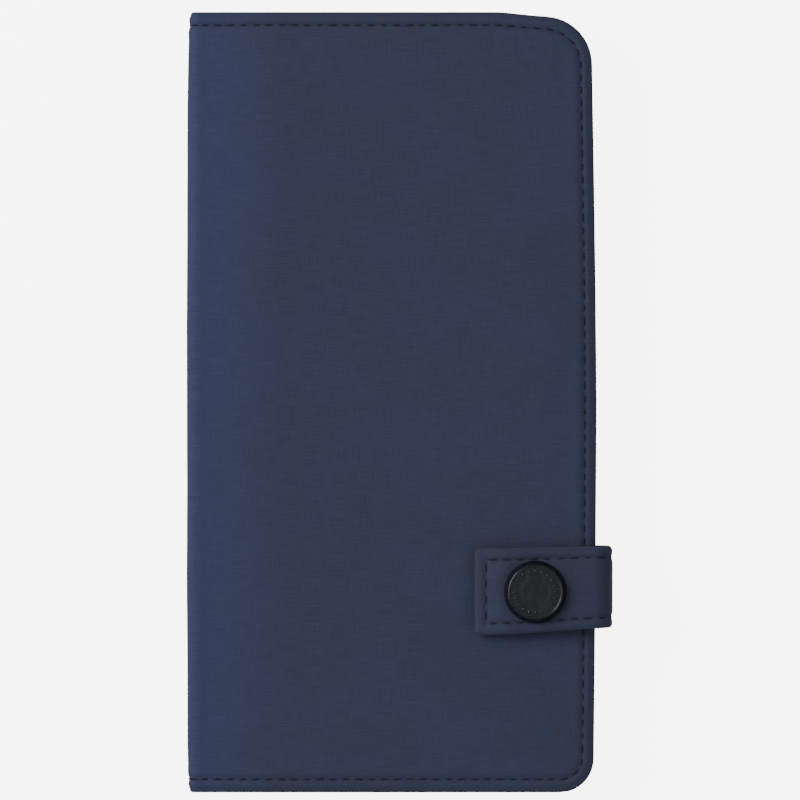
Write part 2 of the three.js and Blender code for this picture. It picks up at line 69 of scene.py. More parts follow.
FRONT_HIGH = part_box("front_outer_panel")[1]
SPINE_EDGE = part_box("spine_outer_panel")[0][0]
TOP_Z = FRONT_HIGH[2]
FORE_EDGE = FRONT_HIGH[0] + 0.7 * MM  # the soft edge stands a little proud
HALF_HEIGHT = FRONT_HIGH[1]
TAB_LOW, TAB_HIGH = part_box("strap_tab_outer")
LOOP_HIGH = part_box("strap_loop_outer")[1]
CAP_LOW, CAP_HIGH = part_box("snap_cap")
CAP_X, CAP_Y = middle_of("snap_cap")[:2]
CAP_RADIUS = (CAP_HIGH[0] - CAP_LOW[0]) / 2

TOP_RADIUS = 13.2 * MM
BOTTOM_RADIUS = 9.2 * MM
COVER_THICKNESS = 1.9 * MM
LINING_THICKNESS = 0.35 * MM
STITCH_PITCH = 3.5 * MM
SIDE_STITCH = 3.2 * MM  # topstitching's distance from the fore-edge
END_STITCH = 3.6 * MM  # and from the top and bottom edges

FOLD_RADIUS = 3.0 * MM
FOLD_S = SPINE_EDGE + FOLD_RADIUS  # where a cover starts to turn into the spine
TURN = FOLD_RADIUS * math.pi / 2
MID_S = FOLD_S - TURN - (TOP_Z / 2 - FOLD_RADIUS)  # the spine's middle, measured round the fold


# ---- Materials ----


class Graph:
    """A material's node tree, built by add()."""

    def __init__(self, name, color, roughness, metallic=0.0, **constants):
        self.material = bpy.data.materials.new(name)
        self.material.use_nodes = True
        self.nodes = self.material.node_tree.nodes
        self.links = self.material.node_tree.links
        self.nodes.clear()
        output = self.nodes.new("ShaderNodeOutputMaterial")
        constants = {"Base_Color": color, "Roughness": roughness, "Metallic": metallic, **constants}
        self.shader = self.add("BsdfPrincipled", **constants)
        self.links.new(self.shader.outputs[0], output.inputs["Surface"])

    def add(self, kind, settings=(), **inputs):
        """A new node; inputs are named by socket, with _ for a space, or by place as in_0."""
        node = self.nodes.new("ShaderNode" + kind)
        for key, value in dict(settings).items():
            setattr(node, key, value)
        for key, value in inputs.items():
            by_place = key.startswith("in_")
            socket = node.inputs[int(key[3:])] if by_place else node.inputs[key.replace("_", " ")]
            if isinstance(value, bpy.types.NodeSocket):
                self.links.new(value, socket)
            else:
                socket.default_value = (*value, 1) if socket.type == "RGBA" else value
        return node

    def math(self, operation, *values):
        """A math node's result."""
        inputs = {f"in_{place}": value for place, value in enumerate(values)}
        return self.add("Math", {"operation": operation}, **inputs).outputs[0]

    def fade(self, value, low, high, to_low, to_high):
        """value stretched from low..high to to_low..to_high, and clamped."""
        ends = {"From_Min": low, "From_Max": high, "To_Min": to_low, "To_Max": to_high}
        return self.add("MapRange", Value=value, **ends).outputs[0]

    def scaled(self, vector, scale):
        """vector multiplied axis by axis."""
        return self.add("Mapping", Vector=vector, Scale=scale).outputs[0]

    def noise(self, vector, scale, detail=2.0, roughness=0.5):
        """Soft noise from 0 to 1."""
        grain = {"Scale": scale, "Detail": detail, "Roughness": roughness}
        return self.add("TexNoise", Vector=vector, **grain).outputs[0]

    def mix(self, share, first, second):
        """A colour between two colours."""
        inputs = {"in_0": share, "in_6": first, "in_7": second}
        return self.add("Mix", {"data_type": "RGBA"}, **inputs).outputs[2]

    def bump(self, height, distance, strength=1.0):
        """Feeds a height to the shader's normal."""
        node = self.add("Bump", Height=height, Distance=distance, Strength=strength)
        self.links.new(node.outputs[0], self.shader.inputs["Normal"])

    def place(self):
        """The object's own coordinates."""
        return self.add("TexCoord").outputs["Object"]

    def color(self, value):
        self.links.new(value, self.shader.inputs["Base Color"])

    def roughness(self, value):
        self.links.new(value, self.shader.inputs["Roughness"])


def shade(color, factor):
    return tuple(channel * factor for channel in color)


def fabric(
    name, color, thread=0.42 * MM, relief=0.04 * MM, uneven=0.16, roughness=0.8, painted_light_span=None
):
    """Plain-woven nylon: crossing threads, thicker and thinner places along them, soft patches
    that are a little bluer or greyer, and a faint shine on the raised threads. painted_light_span
    gives two places along the flat cut. Between them the cloth goes from a painted light, lighter
    and bluer, as where the spine's rounded side catches the light, to its plain colour."""
    gloss = {"Sheen_Weight": 0.06, "Sheen_Roughness": 0.5, "Specular_IOR_Level": 0.3}
    graph = Graph(name, color, roughness, **gloss)
    flat = graph.add("UVMap", {"uv_map": "flat"}).outputs[0]
    split = graph.add("SeparateXYZ", Vector=flat).outputs
    turns = 2 * math.pi / thread
    sway = graph.noise(graph.scaled(flat, (60, 60, 1)), 3.0)
    sway = graph.math("MULTIPLY", sway, 1.6)
    warp, weft = (
        graph.math("SINE", graph.math("ADD", graph.math("MULTIPLY", split[axis], turns), sway))
        for axis in (0, 1)
    )
    over = graph.math("MULTIPLY", warp, weft)
    along_x = graph.noise(graph.scaled(flat, (150, 3400, 1)), 1.0, 2.0)
    along_y = graph.noise(graph.scaled(flat, (3400, 170, 1)), 1.0, 2.0)
    slubs = graph.math("ADD", graph.math("MULTIPLY", along_x, 1.5), along_y)
    height = graph.math("ADD", graph.math("MULTIPLY", over, 0.3), slubs)
    graph.bump(height, relief)

    light = graph.fade(slubs, 0.9, 1.6, 0.0, 1.0)
    threads = graph.mix(light, shade(color, 1 - uneven), shade(color, 1 + uneven))
    blotches = graph.noise(graph.scaled(flat, (30, 42, 1)), 1.0, 3.0, 0.55)
    red, green, blue = color
    greyer = (red * 0.96, green * 0.98, blue * 0.84)
    bluer = (red * 1.04, green * 1.0, blue * 1.16)
    patches = graph.mix(graph.fade(blotches, 0.38, 0.62, 0, 1), greyer, bluer)
    cloth = graph.mix(0.5, threads, patches)
    # Painted light: towards the spine the cloth is painted lighter and bluer, as if its rounded
    # side caught the light.
    if painted_light_span:
        share = graph.fade(split[0], *painted_light_span, 1.0, 0.0)
        painted_lit_blue = (red * 1.12, green * 1.14, blue * 1.36)
        cloth = graph.mix(share, cloth, graph.mix(light, shade(painted_lit_blue, 0.95), shade(painted_lit_blue, 1.08)))
    # Darkens the cloth towards a quarter of its colour by the sheet's darkening attribute: partly
    # wear, partly painted shade at the rolled edges and in the stitch grooves.
    worn_and_shaded = graph.add("Attribute", {"attribute_name": "wear_and_shade"}).outputs["Fac"]
    worn_and_shaded = graph.math("MULTIPLY", worn_and_shaded, graph.fade(slubs, 0.8, 1.6, 0.5, 0.3))
    graph.color(graph.mix(worn_and_shaded, cloth, shade(color, 0.25)))
    graph.roughness(graph.fade(slubs, 0.9, 1.6, roughness + 0.06, roughness - 0.08))
    return graph.material


def thread_material(name, color):
    """Twisted polyester sewing thread."""
    graph = Graph(name, color, 0.8, Specular_IOR_Level=0.15)
    twist = graph.noise(graph.place(), 3500.0, 2.0)
    graph.color(graph.mix(twist, shade(color, 0.6), shade(color, 1.5)))
    graph.bump(twist, 0.03 * MM)
    return graph.material


def dark_metal(name, color, roughness=0.32):
    """Enamelled metal with faint scuffs, which are paler and rougher."""
    graph = Graph(name, color, roughness, 0.75, Coat_Weight=0.4, Coat_Roughness=0.2)
    place = graph.place()
    scuffs = graph.noise(graph.scaled(place, (900, 300, 900)), 1.0, 5.0, 0.7)
    speckle = graph.noise(place, 4200.0, 2.0)
    graph.roughness(graph.fade(scuffs, 0.35, 0.7, roughness - 0.06, roughness + 0.16))
    graph.color(graph.mix(graph.fade(scuffs, 0.5, 0.75, 0.0, 0.035), color, (0.2, 0.2, 0.21)))
    graph.bump(speckle, 0.008 * MM)
    return graph.material


def board_material(name, color):
    """Pressed fibre board."""
    graph = Graph(name, color, 0.9)
    fibres = graph.noise(graph.scaled(graph.place(), (1200, 300, 1200)), 1.0, 6.0, 0.65)
    graph.color(graph.mix(fibres, shade(color, 0.7), shade(color, 1.25)))
    graph.bump(fibres, 0.05 * MM)
    return graph.material


NAVY = (0.0128, 0.0178, 0.0425)
STRAP_NAVY = (0.0118, 0.0160, 0.0385)
LINING_NAVY = (0.0080, 0.0105, 0.0225)
# The outer cloth carries painted light, lighter and bluer, near the spine.
OUTER_FABRIC = fabric("outer_nylon", NAVY, painted_light_span=(FOLD_S - 2 * MM, FOLD_S + 24 * MM))
STRAP_FABRIC = fabric("strap_nylon", STRAP_NAVY)
LINING_FABRIC = fabric("lining_cloth", LINING_NAVY, 0.35 * MM, 0.025 * MM, 0.2, 0.85)
POCKET_FABRIC = fabric("pocket_nylon", shade(NAVY, 0.85), 0.4 * MM, 0.04 * MM, 0.2)
TAPE_FABRIC = fabric("zip_tape_weave", (0.010, 0.012, 0.021), 0.7 * MM, 0.09 * MM, 0.35)
THREAD = thread_material("navy_thread", (0.0062, 0.0088, 0.0200))
METAL = dark_metal("black_enamel", (0.0075, 0.0092, 0.0135), 0.36)
SPRING_METAL = dark_metal("spring_wire", (0.45, 0.46, 0.48), 0.25)
TEETH = dark_metal("dark_nylon_teeth", (0.02, 0.022, 0.03), 0.45)
BOARD = board_material("fibre_board", (0.15, 0.13, 0.11))


# ---- Sheets with rolled edges ----

EDGE_STEPS = [0, 0.3, 0.6, 1.0, 1.4, 1.8, 2.2, 2.6, 3.0, 3.4, 3.8, 4.3, 5.0, 6.0]
RIM_STEPS = 6


def spaced(low, high, step):
    """Places from low to high, closer together near both ends."""
    near = [offset * MM for offset in EDGE_STEPS if offset * MM < 0.4 * (high - low)]
    count = max(2, round((high - low - 2 * near[-1]) / step))
    middle = np.linspace(low + near[-1], high - near[-1], count + 1)
    return np.concatenate([low + np.array(near[:-1]), middle, high - np.array(near[-2::-1])])


def side_gaps(s, y, box, cut):
    """Distance in from each side of a flat piece; a cut side counts as far away."""
    left, right, low, high = box
    gaps = {"left": s - left, "right": right - s, "low": y - low, "high": high - y}
    return {side: gap + (1.0 if side in cut else 0.0) for side, gap in gaps.items()}


def edge_distance(s, y, box, radii, cut=()):
    """Distance in from a flat piece's edge, which is rounded at the corners that radii names."""
    gaps = side_gaps(s, y, box, cut)
    distance = np.minimum.reduce(list(gaps.values()))
    for (side, end), radius in radii.items():
        across, up = radius - gaps[side], radius - gaps[end]
        inside = (across > 0) & (up > 0)
        distance = np.where(inside, radius - np.hypot(across, up), distance)
    return distance


def merged(lines, extra):
    """Grid lines with more put in, leaving out old ones that come too close to the new."""
    extra = [line for line in extra if lines[0] < line < lines[-1]]
    kept = [line for line in lines[1:-1] if all(abs(line - new) > 0.15 * MM for new in extra)]
    return np.array(sorted([lines[0], *kept, *extra, lines[-1]]))


def flat_grid(box, radii, rim, cut, step, extra_s=(), extra_y=()):
    """Grid of (s, y) whose border follows the piece's edge, in by rim except on a cut side."""
    left, right, low, high = box
    left += 0 if "left" in cut else rim
    right -= 0 if "right" in cut else rim
    s_lines = merged(spaced(left, right, step), extra_s)
    y_lines = merged(spaced(low + rim, high - rim, step), extra_y)
    s, y = np.meshgrid(s_lines, y_lines)
    pull = {"left": np.zeros_like(y_lines), "right": np.zeros_like(y_lines)}
    for (side, end), radius in radii.items():
        inner = max(radius - rim, 0)
        gap = (y_lines - low - rim) if end == "low" else (high - rim - y_lines)
        rise = np.clip(inner - gap, 0, inner)
        pull[side] = pull[side] + inner - np.sqrt(inner**2 - rise**2)
    share = (s - left) / (right - left)
    return s + pull["left"][:, None] * (1 - share) - pull["right"][:, None] * share, y


def border(rows, columns):
    """Grid places of the border, anticlockwise from the low left corner."""
    half = [(0, column) for column in range(columns - 1)]
    half += [(row, columns - 1) for row in range(rows - 1)]
    return half + [(rows - 1 - row, columns - 1 - column) for row, column in half]


def sheet(
    name, box, radii, faces, place, material,
    rim=0.7 * MM, cut=(), step=1.4 * MM, extra_s=(), extra_y=(), sewn=None, edge_wear_and_shade=1.0,
):
    """A closed sheet with rolled edges. faces(s, y, edge distance) gives the heights of its upper
    and lower faces on the flat cut, and place(s, y, height) puts flat points in the row frame.
    A cut side ends in a plain face, where it meets the sheet on the next body. The wear_and_shade
    attribute is a darkening that is partly wear and partly painted shade in the rolled edge and the
    stitch grooves. It is edge_wear_and_shade at the edge and lower along sewn, the distance from a
    line of stitches."""
    s, y = flat_grid(box, radii, rim, cut, step, extra_s, extra_y)
    rows, columns = s.shape
    distance = edge_distance(s, y, box, radii, cut)
    upper, lower = faces(s, y, distance)

    ring = border(rows, columns)
    at = tuple(np.array(ring).T)
    nudge = 1e-7
    slope_s = edge_distance(s + nudge, y, box, radii, cut) - distance
    slope_y = edge_distance(s, y + nudge, box, radii, cut) - distance
    out_s, out_y = -slope_s[at] / nudge, -slope_y[at] / nudge
    size = np.maximum(np.hypot(out_s, out_y), 1e-9)
    out_s, out_y = out_s / size, out_y / size
    cut_column = {"left": 0, "right": columns - 1}
    for side in cut:
        on_cut = (at[1] == cut_column[side]) & (at[0] > 0) & (at[0] < rows - 1)
        out_s[on_cut] = out_y[on_cut] = 0
        ends = (at[1] == cut_column[side]) & ~on_cut
        out_s[ends] = 0
        out_y[ends] = np.where(at[0][ends] == 0, -1, 1)

    flat = [np.stack([s.ravel(), y.ravel(), upper.ravel()], -1)]
    flat_uv = [flat[0][:, :2]]
    middle, half = (upper[at] + lower[at]) / 2, (upper[at] - lower[at]) / 2
    for turn in range(1, RIM_STEPS):
        angle = math.pi / 2 - math.pi * turn / RIM_STEPS
        reach = rim * math.cos(angle)
        points = [s[at] + out_s * reach, y[at] + out_y * reach, middle + half * math.sin(angle)]
        flat.append(np.stack(points, -1))
        run = half * (math.pi / 2 - angle)
        flat_uv.append(np.stack([s[at] + out_s * run, y[at] + out_y * run], -1))
    flat.append(np.stack([s.ravel(), y.ravel(), lower.ravel()], -1))
    flat_uv.append(flat[-1][:, :2])
    points, uv = np.concatenate(flat), np.concatenate(flat_uv)

    total = rows * columns
    index = np.arange(total).reshape(rows, columns)
    last = total + (RIM_STEPS - 1) * len(ring)
    quads = [index[:-1, :-1], index[:-1, 1:], index[1:, 1:], index[1:, :-1]]
    quads = np.stack([corner.ravel() for corner in quads], -1)
    polygons = [quads, quads[:, ::-1] + last]
    loops = [index[at]]
    loops += [total + turn * len(ring) + np.arange(len(ring)) for turn in range(RIM_STEPS - 1)]
    loops.append(index[at] + last)
    for above, below in zip(loops, loops[1:]):
        around = [below, np.roll(below, -1), np.roll(above, -1), above]
        polygons.append(np.stack(around, -1))
    polygons = np.concatenate(polygons)

    world = place(points[:, 0], points[:, 1], points[:, 2])
    piece = mesh_object(name, world, polygons, material, uv)
    # Darkening at the rolled edge and along the stitches: partly wear, partly painted shade.
    inward = np.maximum(edge_distance(points[:, 0], points[:, 1], box, radii, cut), 0)
    wear_and_shade = edge_wear_and_shade * dip(inward, 1.1 * MM)
    if sewn:
        wear_and_shade = np.maximum(wear_and_shade, 0.8 * dip(sewn(points[:, 0], points[:, 1]), 0.8 * MM))
    layer = piece.data.attributes.new("wear_and_shade", "FLOAT", "POINT")
    layer.data.foreach_set("value", wear_and_shade.astype(np.float32))
    cut_rings = []
    for side in cut:
        column = cut_column[side]
        on_column = index[:, column]
        corners = [ring.index((row, column)) for row in (0, rows - 1)]
        rim_ids = [int(loop[k]) for loop in loops for k in corners]
        cut_rings.append({*on_column.tolist(), *(on_column + last).tolist(), *rim_ids})
    for edge in piece.data.edges:
        edge.use_edge_sharp = any(set(edge.vertices) <= cut_ring for cut_ring in cut_rings)
    return piece


def mesh_object(name, points, polygons, material, uv=None):
    """A smooth-shaded mesh object with outward faces; uv holds one flat place for each point."""
    points = np.array(points, float)
    mesh = bpy.data.meshes.new(name)
    mesh.from_pydata(points.tolist(), [], [list(map(int, polygon)) for polygon in polygons])
    mesh.update()
    shell = bmesh.new()
    shell.from_mesh(mesh)
    if shell.calc_volume(signed=True) < 0:
        mesh.flip_normals()
    shell.free()
    mesh.polygons.foreach_set("use_smooth", [True] * len(mesh.polygons))
    if uv is not None:
        layer = mesh.uv_layers.new(name="flat")
        corner = np.empty(len(mesh.loops), dtype=int)
        mesh.loops.foreach_get("vertex_index", corner)
        layer.data.foreach_set("uv", uv[corner].astype(np.float32).ravel())
    mesh.materials.append(material)
    return add_object(name, mesh)


def add_object(name, data):
    """A new object in the scene."""
    thing = bpy.data.objects.new(name, data)
    bpy.context.scene.collection.objects.link(thing)
    return thing


def attach(piece, body, slot, *nodes):
    """Lets a piece ride on a body, in place of the CAD nodes that are named."""
    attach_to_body(piece, body)
    if nodes:
        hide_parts(*nodes)


def soft_noise(s, y, size, seed):
    """Smooth noise from -1 to 1 over the flat cut, for slack and puffiness."""
    flat = zip(np.ravel(s) / size, np.ravel(y) / size)
    values = [noise.noise((float(a), float(b), seed)) for a, b in flat]
    return np.reshape(values, np.shape(s))


def level(low, high):
    """Heights of a sheet that is the same all over."""
    return lambda s, y, distance: (np.full_like(s, high), np.full_like(s, low))


def dip(distance, width):
    """A groove's profile: 1 on the line, fading to 0 within about its width."""
    return np.exp(-((distance / width) ** 2))


def rise(value, low, high):
    """0 below low, 1 above high, smooth between."""
    t = np.clip((value - low) / (high - low), 0, 1)
    return t * t * (3 - 2 * t)


# ---- Stitches ----

STITCH_SIDES = 6
STITCH_RINGS = [(-0.5, 0.35), (-0.38, 0.85), (0, 1), (0.38, 0.85), (0.5, 0.35)]


def walk(corners, pitch):
    """Middle points and directions of the stitches along a line of (s, y) corners."""
    found = []
    corners = [np.array(corner, float) for corner in corners]
    lengths = [np.linalg.norm(b - a) for a, b in zip(corners, corners[1:])]
    count = max(1, int(sum(lengths) / pitch))
    for number in range(count):
        along = (number + 0.5) * sum(lengths) / count
        for start, end, length in zip(corners, corners[1:], lengths):
            if along <= length:
                found.append((start + (end - start) * along / length, (end - start) / length))
                break
            along -= length
    return found


def stitches(
    name, lines, surface, place, pitch=STITCH_PITCH, length=2.5 * MM, width=0.42 * MM, side=1
):
    """Raised stitches along lines drawn on the flat cut, lying on surface(s, y); side is -1 where
    they show on the sheet's lower face."""
    points, polygons = [], []
    for line in lines:
        for number, (middle, along) in enumerate(walk(line, pitch)):
            lean = 0.05 * math.sin(5.3 * number)
            size_now = 0.85 + 0.15 * math.sin(2.3 * number + 0.7)
            along = np.array([along[0] - lean * along[1], along[1] + lean * along[0]])
            across = np.array([-along[1], along[0]])
            base = len(points)
            for step, size in STITCH_RINGS:
                centre = middle + along * step * length * size_now
                lift = width * (0.26 - 1.3 * step**2) * size_now
                for angle in circle(STITCH_SIDES):
                    offset = across * size * width / 2 * math.cos(angle)
                    height = lift + size * width * 0.42 * math.sin(angle)
                    points.append((*(centre + offset), side * height))
            polygons += capsule_faces(base, len(STITCH_RINGS), STITCH_SIDES)
    points = np.array(points)
    s, y = points[:, 0], points[:, 1]
    world = place(s, y, points[:, 2] + surface(s, y))
    return mesh_object(name, world, polygons, THREAD)


def circle(count):
    """Equally spaced angles, once round."""
    return [2 * math.pi * k / count for k in range(count)]


def capsule_faces(base, rings, sides):
    """Faces of a tube of rings closed at both ends."""
    faces = [[base + k for k in range(sides)]]
    for ring in range(rings - 1):
        for k in range(sides):
            a = base + ring * sides + k
            b = base + ring * sides + (k + 1) % sides
            faces.append([a, a + sides, b + sides, b])
    faces.append([base + (rings - 1) * sides + k for k in reversed(range(sides))])
    return faces


def rod(points, faces, start, end, radius, sides=10):
    """Adds a round rod with softened ends to a mesh being built."""
    start, end = np.array(start, float), np.array(end, float)
    length = np.linalg.norm(end - start)
    along = (end - start) / length
    across = np.cross(along, (0, 0, 1) if abs(along[2]) < 0.9 else (1, 0, 0))
    across /= np.linalg.norm(across)
    up = np.cross(along, across)
    base = len(points)
    soft = 0.45 * radius
    for run, size in ((0, 0.6), (soft, 1), (length - soft, 1), (length, 0.6)):
        for angle in circle(sides):
            out = across * math.cos(angle) + up * math.sin(angle)
            points.append(tuple(start + along * run + out * size * radius))
    faces += capsule_faces(base, 4, sides)


def plate(points, faces, outline, low, high, bevel):
    """Adds a level plate with bevelled edges to a mesh being built, from an anticlockwise
    outline."""
    outline = np.array(outline, float)
    along = np.roll(outline, -1, 0) - np.roll(outline, 1, 0)
    inward = np.stack([-along[:, 1], along[:, 0]], -1)
    inset = outline + bevel * inward / np.linalg.norm(inward, axis=1)[:, None]
    base = len(points)
    levels = ((inset, low), (outline, low + bevel), (outline, high - bevel), (inset, high))
    for ring, height in levels:
        points += [(x, y, height) for x, y in ring]
    faces += capsule_faces(base, 4, len(outline))


def rounded_line(box, radii, steps=7):
    """Corner points of a rounded line, from the low left end along the right side to the high
    left end. box is (left, right, low, high) and radii are for the low and high right corners."""
    left, right, low, high = box
    line = [(left, low)]
    for radius, y, start in ((radii[0], low + radii[0], -90), (radii[1], high - radii[1], 0)):
        for k in range(steps + 1):
            angle = math.radians(start + 90 * k / steps)
            line.append((right - radius + radius * math.cos(angle), y + radius * math.sin(angle)))
    line.append((left, high))
    return line


# ---- Covers ----

SPINE_FALL = 0.55 * MM  # the outer face falls away this much towards the spine
SPINE_FALL_RUN = 20 * MM
FORE_BOW = (1.45 * MM, 0.85 * MM)  # how far the fore-edge draws in towards the top and bottom
SPINE_BOW = (0.4 * MM, 0.2 * MM)  # and the spine
BOW_POWER = 1.4
CORNER_DROOP = 1.15 * MM  # the top edge sinks towards the fore-edge
DROOP = (26 * MM, 42 * MM)
COVER_BOX = (MID_S, FORE_EDGE, -HALF_HEIGHT, HALF_HEIGHT)
COVER_RADII = {("right", "high"): TOP_RADIUS, ("right", "low"): BOTTOM_RADIUS}
SEWN_FORE = FORE_EDGE - SIDE_STITCH
SEWN_END = HALF_HEIGHT - END_STITCH
SEWN_RADII = (BOTTOM_RADIUS - SIDE_STITCH, TOP_RADIUS - SIDE_STITCH)
COVER_STITCH_BOX = (MID_S, SEWN_FORE, -SEWN_END, SEWN_END)
COVER_STITCH_RADII = {("right", "high"): SEWN_RADII[1], ("right", "low"): SEWN_RADII[0]}


def bowed(x, y):
    """The slight hand-made curve of the covers' long edges and of the top edge's fore end."""
    upper = np.clip(y / HALF_HEIGHT, 0, 1) ** BOW_POWER
    lower = np.clip(-y / HALF_HEIGHT, 0, 1) ** BOW_POWER
    share = (x - SPINE_EDGE) / (FORE_EDGE - SPINE_EDGE)
    fore = -(FORE_BOW[0] * upper + FORE_BOW[1] * lower)
    spine = SPINE_BOW[0] * upper + SPINE_BOW[1] * lower
    droop = CORNER_DROOP * rise(x, *DROOP) * upper**2
    return x + fore * share + spine * (1 - share), y - droop


def cover_place(upward):
    """Lays a flat cover over the front, or under the back, and round its fold into the spine."""

    def place(s, y, h):
        past = np.clip(FOLD_S - s, 0, None)
        angle = np.minimum(past / FOLD_RADIUS, math.pi / 2)
        down = np.clip(past - TURN, 0, None)
        turned_x = FOLD_S - (FOLD_RADIUS + h) * np.sin(angle)
        x = np.where(past > 0, turned_x, s)
        z = TOP_Z - FOLD_RADIUS + (FOLD_RADIUS + h) * np.cos(angle) - down
        return np.stack([*bowed(x, y), z if upward else TOP_Z - z], -1)

    return place


def cover_edge(s, y):
    """Distance in from the covers' edge."""
    return edge_distance(s, y, COVER_BOX, COVER_RADII, ("left",))


def cover_sewn(s, y):
    """Distance in from the covers' topstitching."""
    return edge_distance(s, y, COVER_STITCH_BOX, COVER_STITCH_RADII, ("left",))


def pucker(along):
    """How the cloth swells and sinks from stitch to stitch, from 1 to 0."""
    return 0.5 + 0.5 * np.cos(2 * math.pi * along / STITCH_PITCH)


def cover_upper(s, y):
    """Height of a cover's outer face: rolled edge, sewn groove with puckers, slightly puffy."""
    edge = cover_edge(s, y)
    sewn = cover_sewn(s, y)
    height = -0.55 * MM * (1 - rise(edge, 0.2 * MM, 2.4 * MM))
    groove = dip(sewn, 0.75 * MM)
    puckers = pucker(np.where(SEWN_FORE - s < 3 * MM, y, s))
    height -= groove * (0.26 + 0.12 * puckers) * MM
    height += 0.1 * MM * dip(sewn - 2.2 * MM, 1.2 * MM) * (0.4 + 0.6 * puckers)
    height += 0.22 * MM * rise(sewn, 1 * MM, 12 * MM)
    past_fold = rise(s, FOLD_S - TURN, FOLD_S + 2 * MM)
    height -= SPINE_FALL * (1 - rise(s, FOLD_S, FOLD_S + SPINE_FALL_RUN)) * past_fold
    height += 0.13 * MM * soft_noise(s, y, 34 * MM, 1.7) * rise(sewn, 0, 8 * MM)
    height += 0.05 * MM * soft_noise(s, y, 9 * MM, 4.2)
    return height


def cover_lower(s, y):
    """Height of a cover's inner face, where the lining lies."""
    edge = cover_edge(s, y)
    return -COVER_THICKNESS + 0.35 * MM * (1 - rise(edge, 0.2 * MM, 3 * MM))


def lining_lower(s, y):
    """Height of the lining's showing face, sewn down along the topstitching."""
    sewn = cover_sewn(s, y)
    slack = 0.06 * MM * soft_noise(s, y, 22 * MM, 7.7) * rise(sewn, 0, 6 * MM)
    return cover_lower(s, y) - LINING_THICKNESS + 0.1 * MM * dip(sewn, 0.7 * MM) - slack


def make_cover(label, upward, lining_nodes, outer_nodes):
    """One cover's fabric, lining and topstitching, each bending into its half of the spine."""
    place = cover_place(upward)
    cut = ("left",)
    skin = sheet(
        f"{label}_cover_fabric", COVER_BOX, COVER_RADII,
        lambda s, y, d: (cover_upper(s, y), cover_lower(s, y)), place, OUTER_FABRIC, cut=cut,
        sewn=cover_sewn,
    )
    inset = 1.6 * MM
    lining_box = (MID_S, FORE_EDGE - inset, -HALF_HEIGHT + inset, HALF_HEIGHT - inset)
    lining_radii = {corner: radius - inset for corner, radius in COVER_RADII.items()}
    lining = sheet(
        f"{label}_cover_lining", lining_box, lining_radii,
        lambda s, y, d: (cover_lower(s, y) + 0.05 * MM, lining_lower(s, y)),
        place, LINING_FABRIC, rim=0.2 * MM, cut=cut, step=2.2 * MM,
    )
    line = rounded_line((MID_S + 2 * MM, *COVER_STITCH_BOX[1:]), SEWN_RADII)
    thread = stitches(f"{label}_topstitching", [line], cover_upper, place)
    thread_in = stitches(f"{label}_lining_stitching", [line], lining_lower, place, side=-1)
    for piece in (skin, lining, thread, thread_in):
        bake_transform(piece)
    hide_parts(*outer_nodes)
    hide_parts(*lining_nodes)


make_cover(
    "front", True, ["front_lining", "spine_lining"], ["front_outer_panel", "spine_outer_panel"]
)
make_cover("back", False, ["back_lining"], ["back_outer_panel"])


# ---- Strap ----

STRAP_HALF = 1.0 * MM  # half the strap's thickness
STRAP_TURN = 4.1 * MM  # bend radius of its middle at the fore-edge
TAB_MIDDLE_Z = (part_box("strap_tab_backing")[0][2] + TAB_HIGH[2]) / 2
ANCHOR_LOW, ANCHOR_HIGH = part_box("strap_anchor")
ANCHOR_Z = ANCHOR_LOW[2] / 2 + ANCHOR_HIGH[2] / 2 - 0.2 * MM
OUTSIDE_X = LOOP_HIGH[0] - STRAP_HALF
TURN_X = OUTSIDE_X - STRAP_TURN
QUARTER = STRAP_TURN * math.pi / 2
TAB_RUN = TURN_X - TAB_LOW[0]
LOOP_RUN = TAB_MIDDLE_Z - ANCHOR_Z - 2 * STRAP_TURN
ANCHOR_RUN = 6.5 * MM
STRAP_MID = TAB_RUN + QUARTER + LOOP_RUN / 2
STRAP_END = TAB_RUN + 2 * QUARTER + LOOP_RUN + ANCHOR_RUN
STRAP_HALF_WIDTH = (TAB_HIGH[1] - TAB_LOW[1]) / 2
STRAP_EDGE = 3.1 * MM  # its topstitching's distance from the edge
TAB_BOARD_INSET = 2.4 * MM
FREE_END_DROP = 1.3 * MM  # the free end lies lower than the snap holds the strap
STRAP_TAPER = 0.058  # share of its width that the strap loses by the fore-edge
STRAP_SLANT = 1.3 * MM  # its middle moves this far up the cover on the way


def strap_place(s, y, h):
    """Lays the flat strap over the snap, round the fore-edge and into the back cover's seam."""
    second_turn = TAB_RUN + QUARTER + LOOP_RUN
    first = np.clip((s - TAB_RUN) / STRAP_TURN, 0, math.pi / 2)
    second = np.clip((s - second_turn) / STRAP_TURN, 0, math.pi / 2)
    angle = first + second
    down = np.clip(s - TAB_RUN - QUARTER, 0, LOOP_RUN)
    back = np.clip(s - second_turn - QUARTER, 0, None)
    x = TAB_LOW[0] + np.clip(s, None, TAB_RUN) - back
    x = x + STRAP_TURN * (np.sin(first) - (1 - np.cos(second)))
    z = TAB_MIDDLE_Z - STRAP_TURN * (1 - np.cos(first)) - down - STRAP_TURN * np.sin(second)
    droop = FREE_END_DROP * (1 - rise(s, 0.5 * MM, 9 * MM))
    x = x + h * np.sin(angle)
    z = z + h * np.cos(angle) - droop
    narrow = 1 - STRAP_TAPER * rise(s, 0, TAB_RUN + QUARTER)
    middle_y = CAP_Y + STRAP_SLANT * rise(s, 0, TAB_RUN + 1.5 * QUARTER)
    return np.stack([x, middle_y + y * narrow, z], -1)


